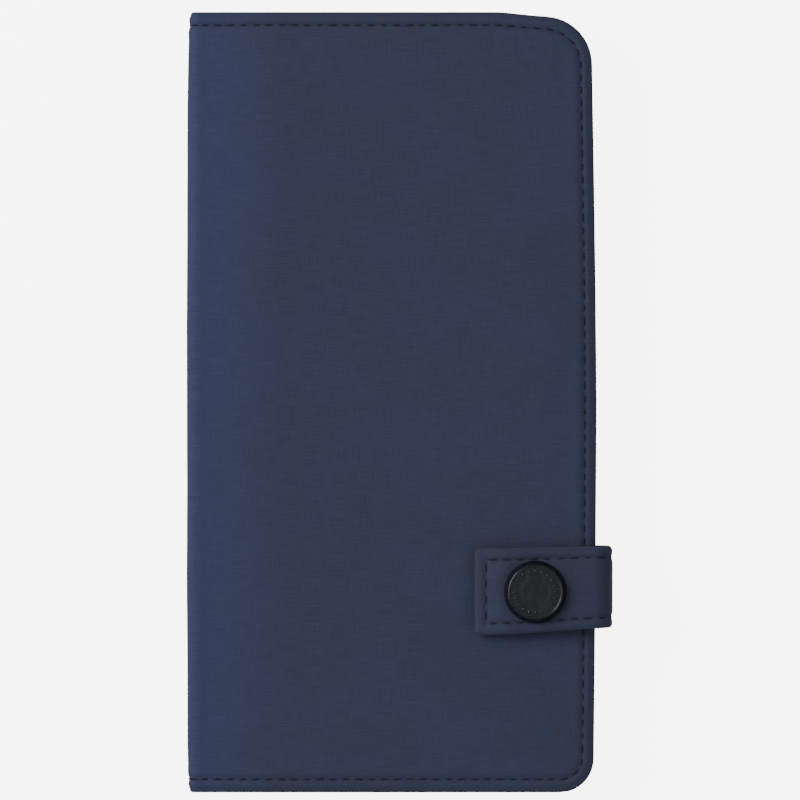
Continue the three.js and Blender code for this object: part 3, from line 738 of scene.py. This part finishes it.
STRAP_BOX = (0, STRAP_END, -STRAP_HALF_WIDTH, STRAP_HALF_WIDTH)
STRAP_RADII = {("left", "high"): 0.9 * MM, ("left", "low"): 0.9 * MM}
SEWN_HALF_WIDTH = STRAP_HALF_WIDTH - STRAP_EDGE
STRAP_SEWN_BOX = (STRAP_EDGE, STRAP_END, -SEWN_HALF_WIDTH, SEWN_HALF_WIDTH)


def strap_sewn(s, y):
    """Distance in from the strap's topstitching."""
    return edge_distance(s, y, STRAP_SEWN_BOX, {}, ("right",))


def strap_roll(s, y):
    """1 at the strap's edge, 0 where its faces are level."""
    return 1 - rise(edge_distance(s, y, STRAP_BOX, STRAP_RADII, ("right",)), 0, 1.1 * MM)


def strap_thinning(s):
    """How far each face sinks where the strap runs into the back cover's seam."""
    return 0.5 * MM * rise(s, STRAP_END - ANCHOR_RUN - QUARTER, STRAP_END - ANCHOR_RUN)


def strap_upper(s, y):
    """Height of the strap's outer face: ridged edges, sewn groove, pressed in under the cap."""
    sewn = strap_sewn(s, y)
    puckers = pucker(np.where(np.abs(s - STRAP_EDGE) < 1.2 * MM, y, s))
    height = STRAP_HALF - 0.45 * MM * strap_roll(s, y)
    height -= dip(sewn, 0.6 * MM) * (0.26 + 0.1 * puckers) * MM
    height += 0.1 * MM * rise(sewn, 0.6 * MM, 3 * MM)
    from_cap = np.hypot(s - (CAP_X - TAB_LOW[0]), y)
    height -= 0.3 * MM * (1 - rise(from_cap, CAP_RADIUS - 1 * MM, CAP_RADIUS + 2.2 * MM))
    height += 0.05 * MM * soft_noise(s, y, 8 * MM, 3.1)
    return height - strap_thinning(s)


def strap_lower(s, y):
    """Height of the strap's inner face, which is plain."""
    return -STRAP_HALF + 0.35 * MM * strap_roll(s, y) + strap_thinning(s)


def make_strap():
    """The strap in two halves that meet halfway down the loop."""
    low, high = STRAP_BOX[2:]

    def heights(s, y, distance):
        return strap_upper(s, y), strap_lower(s, y)

    # The strap's edge darkening, partly wear and partly painted shade, is kept faint.
    look = {"rim": 0.6 * MM, "step": 0.9 * MM, "sewn": strap_sewn, "edge_wear_and_shade": 0.2}
    upper = sheet(
        "strap_tab_fabric", (0, STRAP_MID, low, high), STRAP_RADII, heights, strap_place,
        STRAP_FABRIC, cut=("right",), **look,
    )
    lower = sheet(
        "strap_loop_fabric", (STRAP_MID, STRAP_END, low, high), {}, heights, strap_place,
        STRAP_FABRIC, cut=("left", "right"), **look,
    )
    board_box = (
        TAB_BOARD_INSET, TAB_RUN - 1.6 * MM,
        -STRAP_HALF_WIDTH + TAB_BOARD_INSET, STRAP_HALF_WIDTH - TAB_BOARD_INSET,
    )
    board = sheet(
        "strap_tab_board", board_box, {}, level(-0.3 * MM, 0.3 * MM), strap_place, BOARD,
        rim=0.15 * MM, step=2 * MM,
    )
    attach(board, "strap_tab", "board", "strap_tab_stiffener")
    side = SEWN_HALF_WIDTH
    corners = [(STRAP_MID, -side), (STRAP_EDGE, -side), (STRAP_EDGE, side), (STRAP_MID, side)]
    lines = [corners[:2], corners[1:3], corners[2:]]
    thread = stitches("strap_tab_stitching", lines, strap_upper, strap_place)
    sides = [[(STRAP_MID, y), (STRAP_END - ANCHOR_RUN, y)] for y in (-side, side)]
    loop_thread = stitches("strap_loop_stitching", sides, strap_upper, strap_place)

    for piece in (upper, thread):
        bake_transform(piece)
    for piece in (lower, loop_thread):
        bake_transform(piece)
    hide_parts("strap_tab_outer", "strap_tab_backing")
    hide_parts("strap_loop_outer", "strap_loop_backing", "strap_anchor")


make_strap()


# ---- Snap ----


def lathe(name, profile, centre, material, sides=96):
    """A turned solid from a profile of (radius, height), from the axis to a small flat face."""
    x, y, z = centre
    points, faces, rings = [], [], []
    for radius, height in profile:
        angles = circle(sides) if radius else [0]
        rings.append(list(range(len(points), len(points) + len(angles))))
        for angle in angles:
            points.append((x + radius * math.cos(angle), y + radius * math.sin(angle), z + height))
    for below, above in zip(rings, rings[1:]):
        for k in range(sides):
            quad = [below[k % len(below)], below[(k + 1) % len(below)]]
            quad += [above[(k + 1) % len(above)], above[k % len(above)]]
            face = list(dict.fromkeys(quad))
            if len(face) > 2:
                faces.append(face)
    faces.append(rings[-1])
    return mesh_object(name, points, faces, material)


def arc(centre, radius, start, end, steps):
    """Profile points round an arc, angles in degrees."""
    angles = [math.radians(start + (end - start) * k / steps) for k in range(steps + 1)]
    return [(centre[0] + radius * math.cos(a), centre[1] + radius * math.sin(a)) for a in angles]


def make_cap():
    """Cap with a sloping side, a thin crest and a shallow dished ring that carries plain bars."""
    base = TAB_HIGH[2] - 0.35 * MM
    height = CAP_HIGH[2] - base
    foot = 0.5 * MM
    crest, crest_radius, lip_radius = CAP_RADIUS - 1.35 * MM, 0.35 * MM, 0.05 * MM
    track = height - 0.36 * MM
    inner, outer = 4.4 * MM, crest - lip_radius
    profile = [(0, 0), (CAP_RADIUS - foot, 0)]
    profile += arc((CAP_RADIUS - foot, foot), foot, -90, 15, 7)
    profile += arc((crest, height - crest_radius), crest_radius, 32, 90, 8)
    profile += arc((crest, height - lip_radius), lip_radius, 90, 180, 5)
    profile.append((outer, track + 0.08 * MM))
    profile += [(outer - 0.04 * MM, track), (outer - 0.2 * MM, track)]
    dome_steps = 14
    for step in range(dome_steps):
        radius = inner * (1 - step / dome_steps)
        climb = 0.14 * (1 - rise(radius, 0.72 * inner, inner)) + 0.06 * (1 - (radius / inner) ** 2)
        profile.append((radius, track + float(climb) * MM))
    cap = lathe("snap_cap_shell", profile, (CAP_X, CAP_Y, base), METAL)
    attach(cap, "strap_tab", "snap_metal", "snap_cap")

    bars, sides = 20, 12
    long_half, short_half = 0.6 * MM, 0.3 * MM
    ring = 5.6 * MM
    points, faces = [], []
    for angle in circle(bars):
        out_x, out_y = math.cos(angle), math.sin(angle)
        start = len(points)
        for up, size in ((-0.1, 1), (0.14, 0.95), (0.24, 0.75), (0.3, 0.4)):
            for turn in circle(sides):
                outward = ring + long_half * size * math.cos(turn)
                aside = short_half * size * math.sin(turn)
                x = CAP_X + out_x * outward - out_y * aside
                y = CAP_Y + out_y * outward + out_x * aside
                points.append((x, y, base + track + up * MM))
        faces += capsule_faces(start, 4, sides)
    bar_ring = mesh_object("snap_cap_bars", points, faces, METAL)
    attach(bar_ring, "strap_tab", "snap_metal")


make_cap()


# ---- Pockets ----

BACK_LINING_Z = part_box("back_lining")[1][2]
FRONT_LINING_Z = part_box("front_lining")[0][2]
POCKET_THICKNESS = 0.42 * MM
POCKET_INSET = 1.75 * MM  # from the cover's edge to that of a pocket sewn in with it
HEM = 4 * MM
HEM_STITCH = 3.1 * MM  # from the open edge
HEM_HEIGHT = 0.33 * MM
SEWN_HEIGHT = 0.1 * MM  # a sewn edge's height over the lining
SIDES = ("left", "right", "low", "high")


def on_lining(front):
    """Lays a flat pocket piece over a cover's lining, h away from it."""

    def place(s, y, h):
        return np.stack([*bowed(s, y), FRONT_LINING_Z - h if front else BACK_LINING_Z + h], -1)

    return place


def hemmed(gap, groove):
    """Height of a turned hem over its panel, gap in from the open edge, with a sewn groove."""
    hem = 1 - rise(gap, HEM - 0.25 * MM, HEM + 0.25 * MM)
    return HEM_HEIGHT * hem - groove * dip(gap - HEM_STITCH, 0.55 * MM)


def pocket_faces(box, radii, base, sewn, open_side, slack, seed):
    """Heights of a pocket's panel: down on the lining along its sewn sides, with a turned hem
    along its open side, which stands slack in the middle."""
    free = [side for side in SIDES if side not in sewn]

    def faces(s, y, distance):
        to_seam = edge_distance(s, y, box, radii, free)
        from_opening = side_gaps(s, y, box, ())[open_side]
        lower = base - (base - SEWN_HEIGHT) * (1 - rise(to_seam, 1.6 * MM, 5.5 * MM))
        lower += slack * rise(to_seam, 3 * MM, 26 * MM) * (1 - rise(from_opening, 0, 18 * MM))
        lower += 0.05 * MM * soft_noise(s, y, 13 * MM, seed) * rise(to_seam, 2 * MM, 9 * MM)
        return lower + POCKET_THICKNESS + hemmed(from_opening, 0.12 * MM), lower

    return faces


def upper_of(faces):
    """A sheet's upper face as a surface for stitches."""
    return lambda s, y: faces(s, y, None)[0]


def add_pocket(
    name, front, box, radii, faces, nodes, lines, rests_on,
    material=POCKET_FABRIC, on_cloth=(), **options,
):
    """A pocket piece with its stitches, riding on its cover."""
    body = "front_cover" if front else "back_cover"
    options = {"rim": 0.2 * MM, "step": 2.2 * MM, **options}
    place = on_lining(front)
    cloth = sheet(name, box, radii, faces, place, material, **options)
    thread = stitches(
        f"{name}_stitching", lines, upper_of(faces), place,
        pitch=3.0 * MM, length=2.1 * MM, width=0.38 * MM,
    )
    attach(cloth, body, "lining_fabric", *nodes)
    attach(thread, body, "lining_fabric")


def side_to_side(box, y, inset=2.5 * MM):
    """A line across a pocket, short of its sides."""
    return [(box[0] + inset, y), (box[1] - inset, y)]


def u_line(left, right, low, high, radius):
    """Down the left side, along the low one, round the corner and up the right one."""
    return [(left, high), *rounded_line((left, right, low, high), (radius, 0))[:-1]]


POCKET_FORE = FORE_EDGE - POCKET_INSET
POCKET_END = HALF_HEIGHT - POCKET_INSET
POCKET_RADII = {corner: radius - POCKET_INSET for corner, radius in COVER_RADII.items()}
LOW_POCKET_RADII = {("right", "low"): BOTTOM_RADIUS - POCKET_INSET}


def make_document_pocket():
    """Full-height pocket behind the cards, open towards the spine; its hem is turned inside."""
    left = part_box("document_pocket_panel")[0][0]
    box = (left, POCKET_FORE, -POCKET_END, POCKET_END)
    base = 0.6 * MM

    def faces(s, y, distance):
        to_seam = edge_distance(s, y, box, POCKET_RADII, ("left",))
        lower = base - (base - SEWN_HEIGHT) * (1 - rise(to_seam, 1.2 * MM, 4.2 * MM))
        return lower + POCKET_THICKNESS, lower

    edge_line = left + 0.8 * MM
    sewn_box = (edge_line, SEWN_FORE, -SEWN_END, SEWN_END)
    around = rounded_line(sewn_box, SEWN_RADII)
    parts = ("panel", "seam_fore", "seam_top", "seam_bottom")
    nodes = [f"document_pocket_{part}" for part in parts]
    lines = [around, [(edge_line, -SEWN_END + 2 * MM), (edge_line, SEWN_END - 2 * MM)]]
    add_pocket(
        "document_pocket", False, box, POCKET_RADII, faces, nodes, lines, ["back_cover_lining"],
        material=LINING_FABRIC,
    )


def make_card_slots():
    """Stepped slots, each a panel that stands a little slack along its hemmed upper edge."""
    base = 1.1 * MM
    step = 0.5 * MM
    names = [f"card_slot_{number}" for number in (1, 2, 3, 4)]
    tops = [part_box(name)[1][1] for name in names] + [None]
    for number, name in enumerate(names):
        box = outline_of(name)
        floor = base + number * step + 0.03 * MM

        def faces(s, y, distance, box=box, floor=floor, seed=number):
            across = np.clip((s - box[0]) / (box[1] - box[0]), 0, 1)
            gap = box[3] - y
            slack = (0.42 - 0.06 * seed) * MM * np.sin(math.pi * across) ** 0.8
            ripple = 1 + 0.25 * soft_noise(s, y, 16 * MM, seed + 0.5)
            lower = floor + slack * ripple * (1 - rise(gap, 0, 11 * MM))
            return lower + POCKET_THICKNESS + hemmed(gap, 0.1 * MM), lower

        seam = 1.4 * MM
        bottom = tops[number + 1] + 0.6 * MM if tops[number + 1] else box[2] + seam
        sides = [[(x, bottom), (x, box[3] - 0.6 * MM)] for x in (box[0] + seam, box[1] - seam)]
        lines = sides + [side_to_side(box, box[3] - HEM_STITCH)]
        if not tops[number + 1]:
            lines.append(side_to_side(box, bottom))
        under = names[number - 1] + "_cloth" if number else "document_pocket"
        add_pocket(f"{name}_cloth", False, box, {}, faces, [name], lines, [under])


def make_passport_pocket():
    """Passport pocket on the front cover, open upwards, with a smaller slip pocket over it."""
    pockets = (
        ("passport_pocket", 0.6 * MM, 0.7 * MM, ["front_cover_lining"]),
        ("slip_pocket", 1.08 * MM, 0.5 * MM, ["passport_pocket"]),
    )
    for name, base, slack, rests_on in pockets:
        nodes = [f"{name}_panel"]
        low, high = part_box(nodes[0])
        box = (low[0], POCKET_FORE, -POCKET_END, high[1])
        sewn_edge = SEWN_HEIGHT + (0.46 * MM if name == "slip_pocket" else 0)
        shape = pocket_faces(
            box, LOW_POCKET_RADII, base, ("left", "right", "low"), "high", slack, base / MM
        )

        def faces(s, y, distance, shape=shape, box=box, sewn_edge=sewn_edge):
            upper, lower = shape(s, y, distance)
            raised = np.maximum(sewn_edge - lower, 0)
            return upper + raised, lower + raised

        seam_left = box[0] + 1.3 * MM
        around = u_line(seam_left, SEWN_FORE, -SEWN_END, box[3] - 0.8 * MM, SEWN_RADII[0])
        lines = [around, side_to_side(box, box[3] - HEM_STITCH, 3 * MM)]
        if name == "passport_pocket":
            nodes += [f"passport_pocket_seam_{part}" for part in ("fore", "spine", "bottom")]
        add_pocket(name, True, box, LOW_POCKET_RADII, faces, nodes, lines, rests_on)


make_document_pocket()
make_card_slots()
make_passport_pocket()


# ---- Zip pocket ----

ZIP_BOX = outline_of("zip_pocket_back_panel")
ZIP_Y = middle_of("zip_start_stop")[1]
ZIP_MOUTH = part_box("zip_pocket_header")[0][1] - ZIP_Y
TEETH_LOW, TEETH_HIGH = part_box("zip_teeth_lower")
TOOTH_PITCH = 1.5 * MM
TOOTH_RADIUS = 0.36 * MM
TOOTH_REACH = 0.2 * MM  # past the zip's middle line
TEETH_OUTER = 2.0 * MM


def zip_pocket_faces(s, y, distance):
    """A flat pouch with a trough across it for the zip, deep enough for the slider."""
    gaps = side_gaps(s, y, ZIP_BOX, ())
    to_edge = np.minimum.reduce(list(gaps.values()))
    lower = np.full_like(s, 1.13 * MM)
    top = 3.62 * MM - 0.95 * MM * (1 - rise(to_edge, 0, 4.5 * MM))
    top -= 0.16 * MM * dip(to_edge - 1.5 * MM, 0.6 * MM)
    from_zip = np.abs(y - ZIP_Y)
    body = rise(from_zip, ZIP_MOUTH + 3 * MM, ZIP_MOUTH + 18 * MM) * rise(to_edge, 2 * MM, 14 * MM)
    top += body * (0.12 * soft_noise(s, y, 15 * MM, 9.1) - 0.3) * MM
    top -= 0.12 * MM * dip(from_zip - ZIP_MOUTH - 1.3 * MM, 0.55 * MM)
    from_end = np.minimum(gaps["left"], gaps["right"])
    trough = (2.72 - 1.05 * rise(from_end, 0.9 * MM, 1.5 * MM)) * MM
    wall = rise(from_zip, ZIP_MOUTH - 0.15 * MM, ZIP_MOUTH + 0.3 * MM)
    return trough + (top - trough) * wall, lower


def make_zip_pocket(tapes):
    """The pouch with its seams; the tapes it is given are passed on to add_pocket, which does not
    use them.
    """
    left, right, low, high = ZIP_BOX
    wall = [ZIP_MOUTH + offset * MM for offset in (-0.6, -0.15, 0, 0.15, 0.3, 0.8, 1.3, 1.8)]
    walls = [ZIP_Y + side * gap for side in (-1, 1) for gap in wall]
    ends = [left + 0.9 * MM, left + 1.5 * MM, right - 1.5 * MM, right - 0.9 * MM]
    seam = 1.5 * MM
    panel_edge = ZIP_MOUTH + 1.3 * MM
    lines = [
        [(left + seam, ZIP_Y - panel_edge), (left + seam, low + seam), (right - seam, low + seam)],
        [(right - seam, low + seam), (right - seam, ZIP_Y - panel_edge)],
    ]
    rows = (ZIP_Y - panel_edge, ZIP_Y + panel_edge, high - seam)
    lines += [side_to_side(ZIP_BOX, y) for y in rows]
    parts = ("back_panel", "front_panel", "header", "seam_spine", "seam_fore", "seam_bottom")
    add_pocket(
        "zip_pocket_cloth", False, ZIP_BOX, {}, zip_pocket_faces,
        [f"zip_pocket_{part}" for part in parts], lines, ["document_pocket"],
        on_cloth=tapes, rim=0.6 * MM, extra_s=ends, extra_y=walls,
    )


def make_zip():
    """Two tapes across the trough, their meshed teeth, and a stop at each end."""
    left, right = ZIP_BOX[:2]
    tape_low, tape_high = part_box("zip_tape_lower")[0][2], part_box("zip_tape_lower")[1][2]
    heights = level(tape_low - BACK_LINING_Z + 0.03 * MM, tape_high - BACK_LINING_Z - 0.02 * MM)
    row_start, row_end = TEETH_LOW[0] + 0.6 * MM, TEETH_HIGH[0] - 0.6 * MM
    tapes = []
    tooth_z = TEETH_LOW[2] + TOOTH_RADIUS + 0.05 * MM
    for label, side in (("lower", -1), ("upper", 1)):
        edges = sorted((ZIP_Y + side * 0.75 * MM, ZIP_Y + side * (ZIP_MOUTH + 0.1 * MM)))
        name = f"zip_tape_{label}"
        tape = sheet(
            f"{name}_cloth", (left + 0.5 * MM, right - 0.5 * MM, *edges), {}, heights,
            on_lining(False), TAPE_FABRIC, rim=0.12 * MM, step=1.5 * MM,
        )
        attach(tape, "back_cover", "zip_tape", name)
        tapes.append(tape)

        points, faces = [], []
        count = int((row_end - row_start) / TOOTH_PITCH)
        for number in range(count):
            x = row_start + (number + (0.5 if side > 0 else 0)) * TOOTH_PITCH
            start = (x, ZIP_Y + side * TEETH_OUTER, tooth_z)
            rod(points, faces, start, (x, ZIP_Y - side * TOOTH_REACH, tooth_z), TOOTH_RADIUS, 8)
        core_y, core_z = ZIP_Y + side * (TEETH_OUTER - 0.1 * MM), tooth_z + 0.25 * MM
        ends = (row_start - 0.4 * MM, row_start + count * TOOTH_PITCH)
        rod(points, faces, (ends[0], core_y, core_z), (ends[1], core_y, core_z), 0.3 * MM)
        row = mesh_object(f"zip_teeth_{label}_coil", points, faces, TEETH)
        attach(row, "back_cover", "zip_teeth", f"zip_teeth_{label}")

    for name, x in (("zip_start_stop", left + 1.3 * MM), ("zip_end_stop", right - 1.3 * MM)):
        points, faces = [], []
        half = 1.9 * MM
        height = TEETH_LOW[2] + 0.35 * MM
        rod(points, faces, (x, ZIP_Y - half, height), (x, ZIP_Y + half, height), 0.55 * MM)
        bar = mesh_object(f"{name}_bar", points, faces, METAL)
        attach(bar, "back_cover", "zip_metal", name)
    return tapes


def rectangle(left, right, low, high):
    """Corners, anticlockwise from the low left one."""
    return [(left, low), (right, low), (right, high), (left, high)]


def mirrored(half_outline):
    """An outline completed by its mirror image across the zip."""
    return half_outline + [(x, 2 * ZIP_Y - y) for x, y in reversed(half_outline)]


def make_slider():
    """Slider: a waisted upper plate, a lower plate, a post between and a bridge for the pull."""
    low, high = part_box("zip_slider_body")
    middle = middle_of("zip_slider_body")[0]
    half = (high[1] - low[1]) / 2
    top_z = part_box("zip_teeth_lower")[1][2] + 0.2 * MM
    shape = (
        (low[0], -0.5), (low[0] + 1.2 * MM, -0.66), (middle, -0.62), (high[0] - 1.8 * MM, -0.95),
        (high[0] - 0.5 * MM, -0.92), (high[0], -0.6),
    )
    outline = mirrored([(x, ZIP_Y + share * half) for x, share in shape])
    points, faces = [], []
    plate(points, faces, outline, top_z, top_z + 0.55 * MM, 0.16 * MM)
    plate(points, faces, outline, low[2], low[2] + 0.4 * MM, 0.1 * MM)
    post = rectangle(middle + 0.5 * MM, middle + 3.6 * MM, ZIP_Y - 0.4 * MM, ZIP_Y + 0.4 * MM)
    plate(points, faces, post, low[2] + 0.3 * MM, top_z + 0.2 * MM, 0.05 * MM)
    pivot_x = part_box("zip_pull_tab")[1][0] - 0.45 * MM
    for side in (-1, 1):
        y = ZIP_Y + side * 1.9 * MM
        cheek = rectangle(pivot_x - 1.1 * MM, pivot_x + 1.1 * MM, y - 0.36 * MM, y + 0.36 * MM)
        plate(points, faces, cheek, top_z + 0.4 * MM, high[2], 0.14 * MM)
    slider = mesh_object("zip_slider_shell", points, faces, METAL)
    attach(slider, "zip_slider", "zip_metal", "zip_slider_body")
    return pivot_x


def make_pull(pivot_x):
    """A flat pull with a rounded tab, three grip bars and a bar held in the bridge."""
    low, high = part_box("zip_pull_tab")
    middle_z = middle_of("zip_pull_tab")[2]
    half = (high[1] - low[1]) / 2
    thick = 0.3 * MM
    reach = pivot_x - low[0]
    points, faces = [], []
    bar_ends = [(pivot_x, ZIP_Y + side * 1.2 * MM, middle_z) for side in (-1, 1)]
    rod(points, faces, *bar_ends, 0.45 * MM)
    shape = (
        (-0.02, -0.4), (-0.2, -0.42), (-0.32, -0.8), (-0.42, -0.96), (-0.86, -0.96), (-0.96, -0.7),
        (-1, -0.3),
    )
    outline = mirrored([(pivot_x + a * reach, ZIP_Y + b * half) for a, b in shape])[::-1]
    plate(points, faces, outline, middle_z - thick, middle_z + thick, 0.12 * MM)
    for share in (0.55, 0.67, 0.79):
        x = pivot_x - share * reach
        for z in (middle_z - thick, middle_z + thick):
            rod(points, faces, (x, ZIP_Y - 0.6 * half, z), (x, ZIP_Y + 0.6 * half, z), 0.2 * MM, 8)
    pull = mesh_object("zip_pull_plate", points, faces, METAL)
    attach(pull, "zip_pull", "zip_metal", "zip_pull_tab")


make_zip_pocket(make_zip())
make_pull(make_slider())


# ---- Carried-over CAD nodes ----


def finish_nodes(material, *names):
    """Gives CAD nodes that stay in the scene a material of their own."""
    for name in names:
        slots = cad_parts[name].material_slots
        for place in range(len(slots)):
            slots[place].material = material


finish_nodes(BOARD, "front_stiffener", "back_stiffener", "spine_stiffener")
finish_nodes(METAL, "snap_stud", "snap_stud_rivet", "snap_socket")
finish_nodes(SPRING_METAL, "snap_spring_ring")


# ---- Stage, light and camera ----

FLOOR_GLOW = 6
FLOOR_HALF = 3.0
FLOOR_Z = -0.4 * MM
WORLD_STRENGTH = 0.6
CAMERA_HEIGHT = 2.2
VIEW_WIDTH = 217.2 * MM  # at the height of the cover


def make_stage():
    """A pale glowing floor, just under the object, and an even white world."""
    glow = {"Emission_Color": (1, 1, 1), "Emission_Strength": FLOOR_GLOW}
    floor = Graph("pale_floor", (0.9, 0.9, 0.9), 0.9, **glow)
    square = rectangle(-FLOOR_HALF, FLOOR_HALF, -FLOOR_HALF, FLOOR_HALF)
    corners = [(x, y, FLOOR_Z) for x, y in square]
    plane = bpy.data.meshes.new("floor")
    plane.from_pydata(corners, [], [[0, 1, 2, 3]])
    plane.materials.append(floor.material)
    stage = add_object("floor", plane)
    stage.visible_diffuse = stage.visible_glossy = False

    world = bpy.data.worlds.new("studio")
    world.use_nodes = True
    background = world.node_tree.nodes["Background"]
    background.inputs[0].default_value = (1, 1, 1, 1)
    background.inputs[1].default_value = WORLD_STRENGTH
    bpy.context.scene.world = world


LIGHTS = (  # name, place, side in metres and power in watts
    ("key", (-0.9, 0.45, 0.85), 0.7, 21),
    ("side", (-0.95, -0.22, 0.5), 0.2, 2.2),
    ("fill", (0.8, -0.3, 0.9), 0.9, 3),
)


def area_light(name, place, size, power):
    """A square lamp that faces the object."""
    light = bpy.data.lights.new(name, "AREA")
    light.shape = "RECTANGLE"
    light.size = light.size_y = size
    light.energy = power
    lamp = add_object(name, light)
    lamp.location = place
    x, y, z = place
    lamp.rotation_euler = (math.atan2(math.hypot(x, y), z), 0, math.atan2(-x, y) + math.pi)


def make_camera():
    """Straight above, with the top of the frame towards +Y."""
    camera = bpy.data.cameras.new("camera")
    camera.angle = 2 * math.atan(VIEW_WIDTH / 2 / (CAMERA_HEIGHT - TOP_Z))
    holder = add_object("camera", camera)
    holder.location = (0.05 * MM, 0.6 * MM, CAMERA_HEIGHT)
    bpy.context.scene.camera = holder


make_stage()
for lamp_facts in LIGHTS:
    area_light(*lamp_facts)
make_camera()
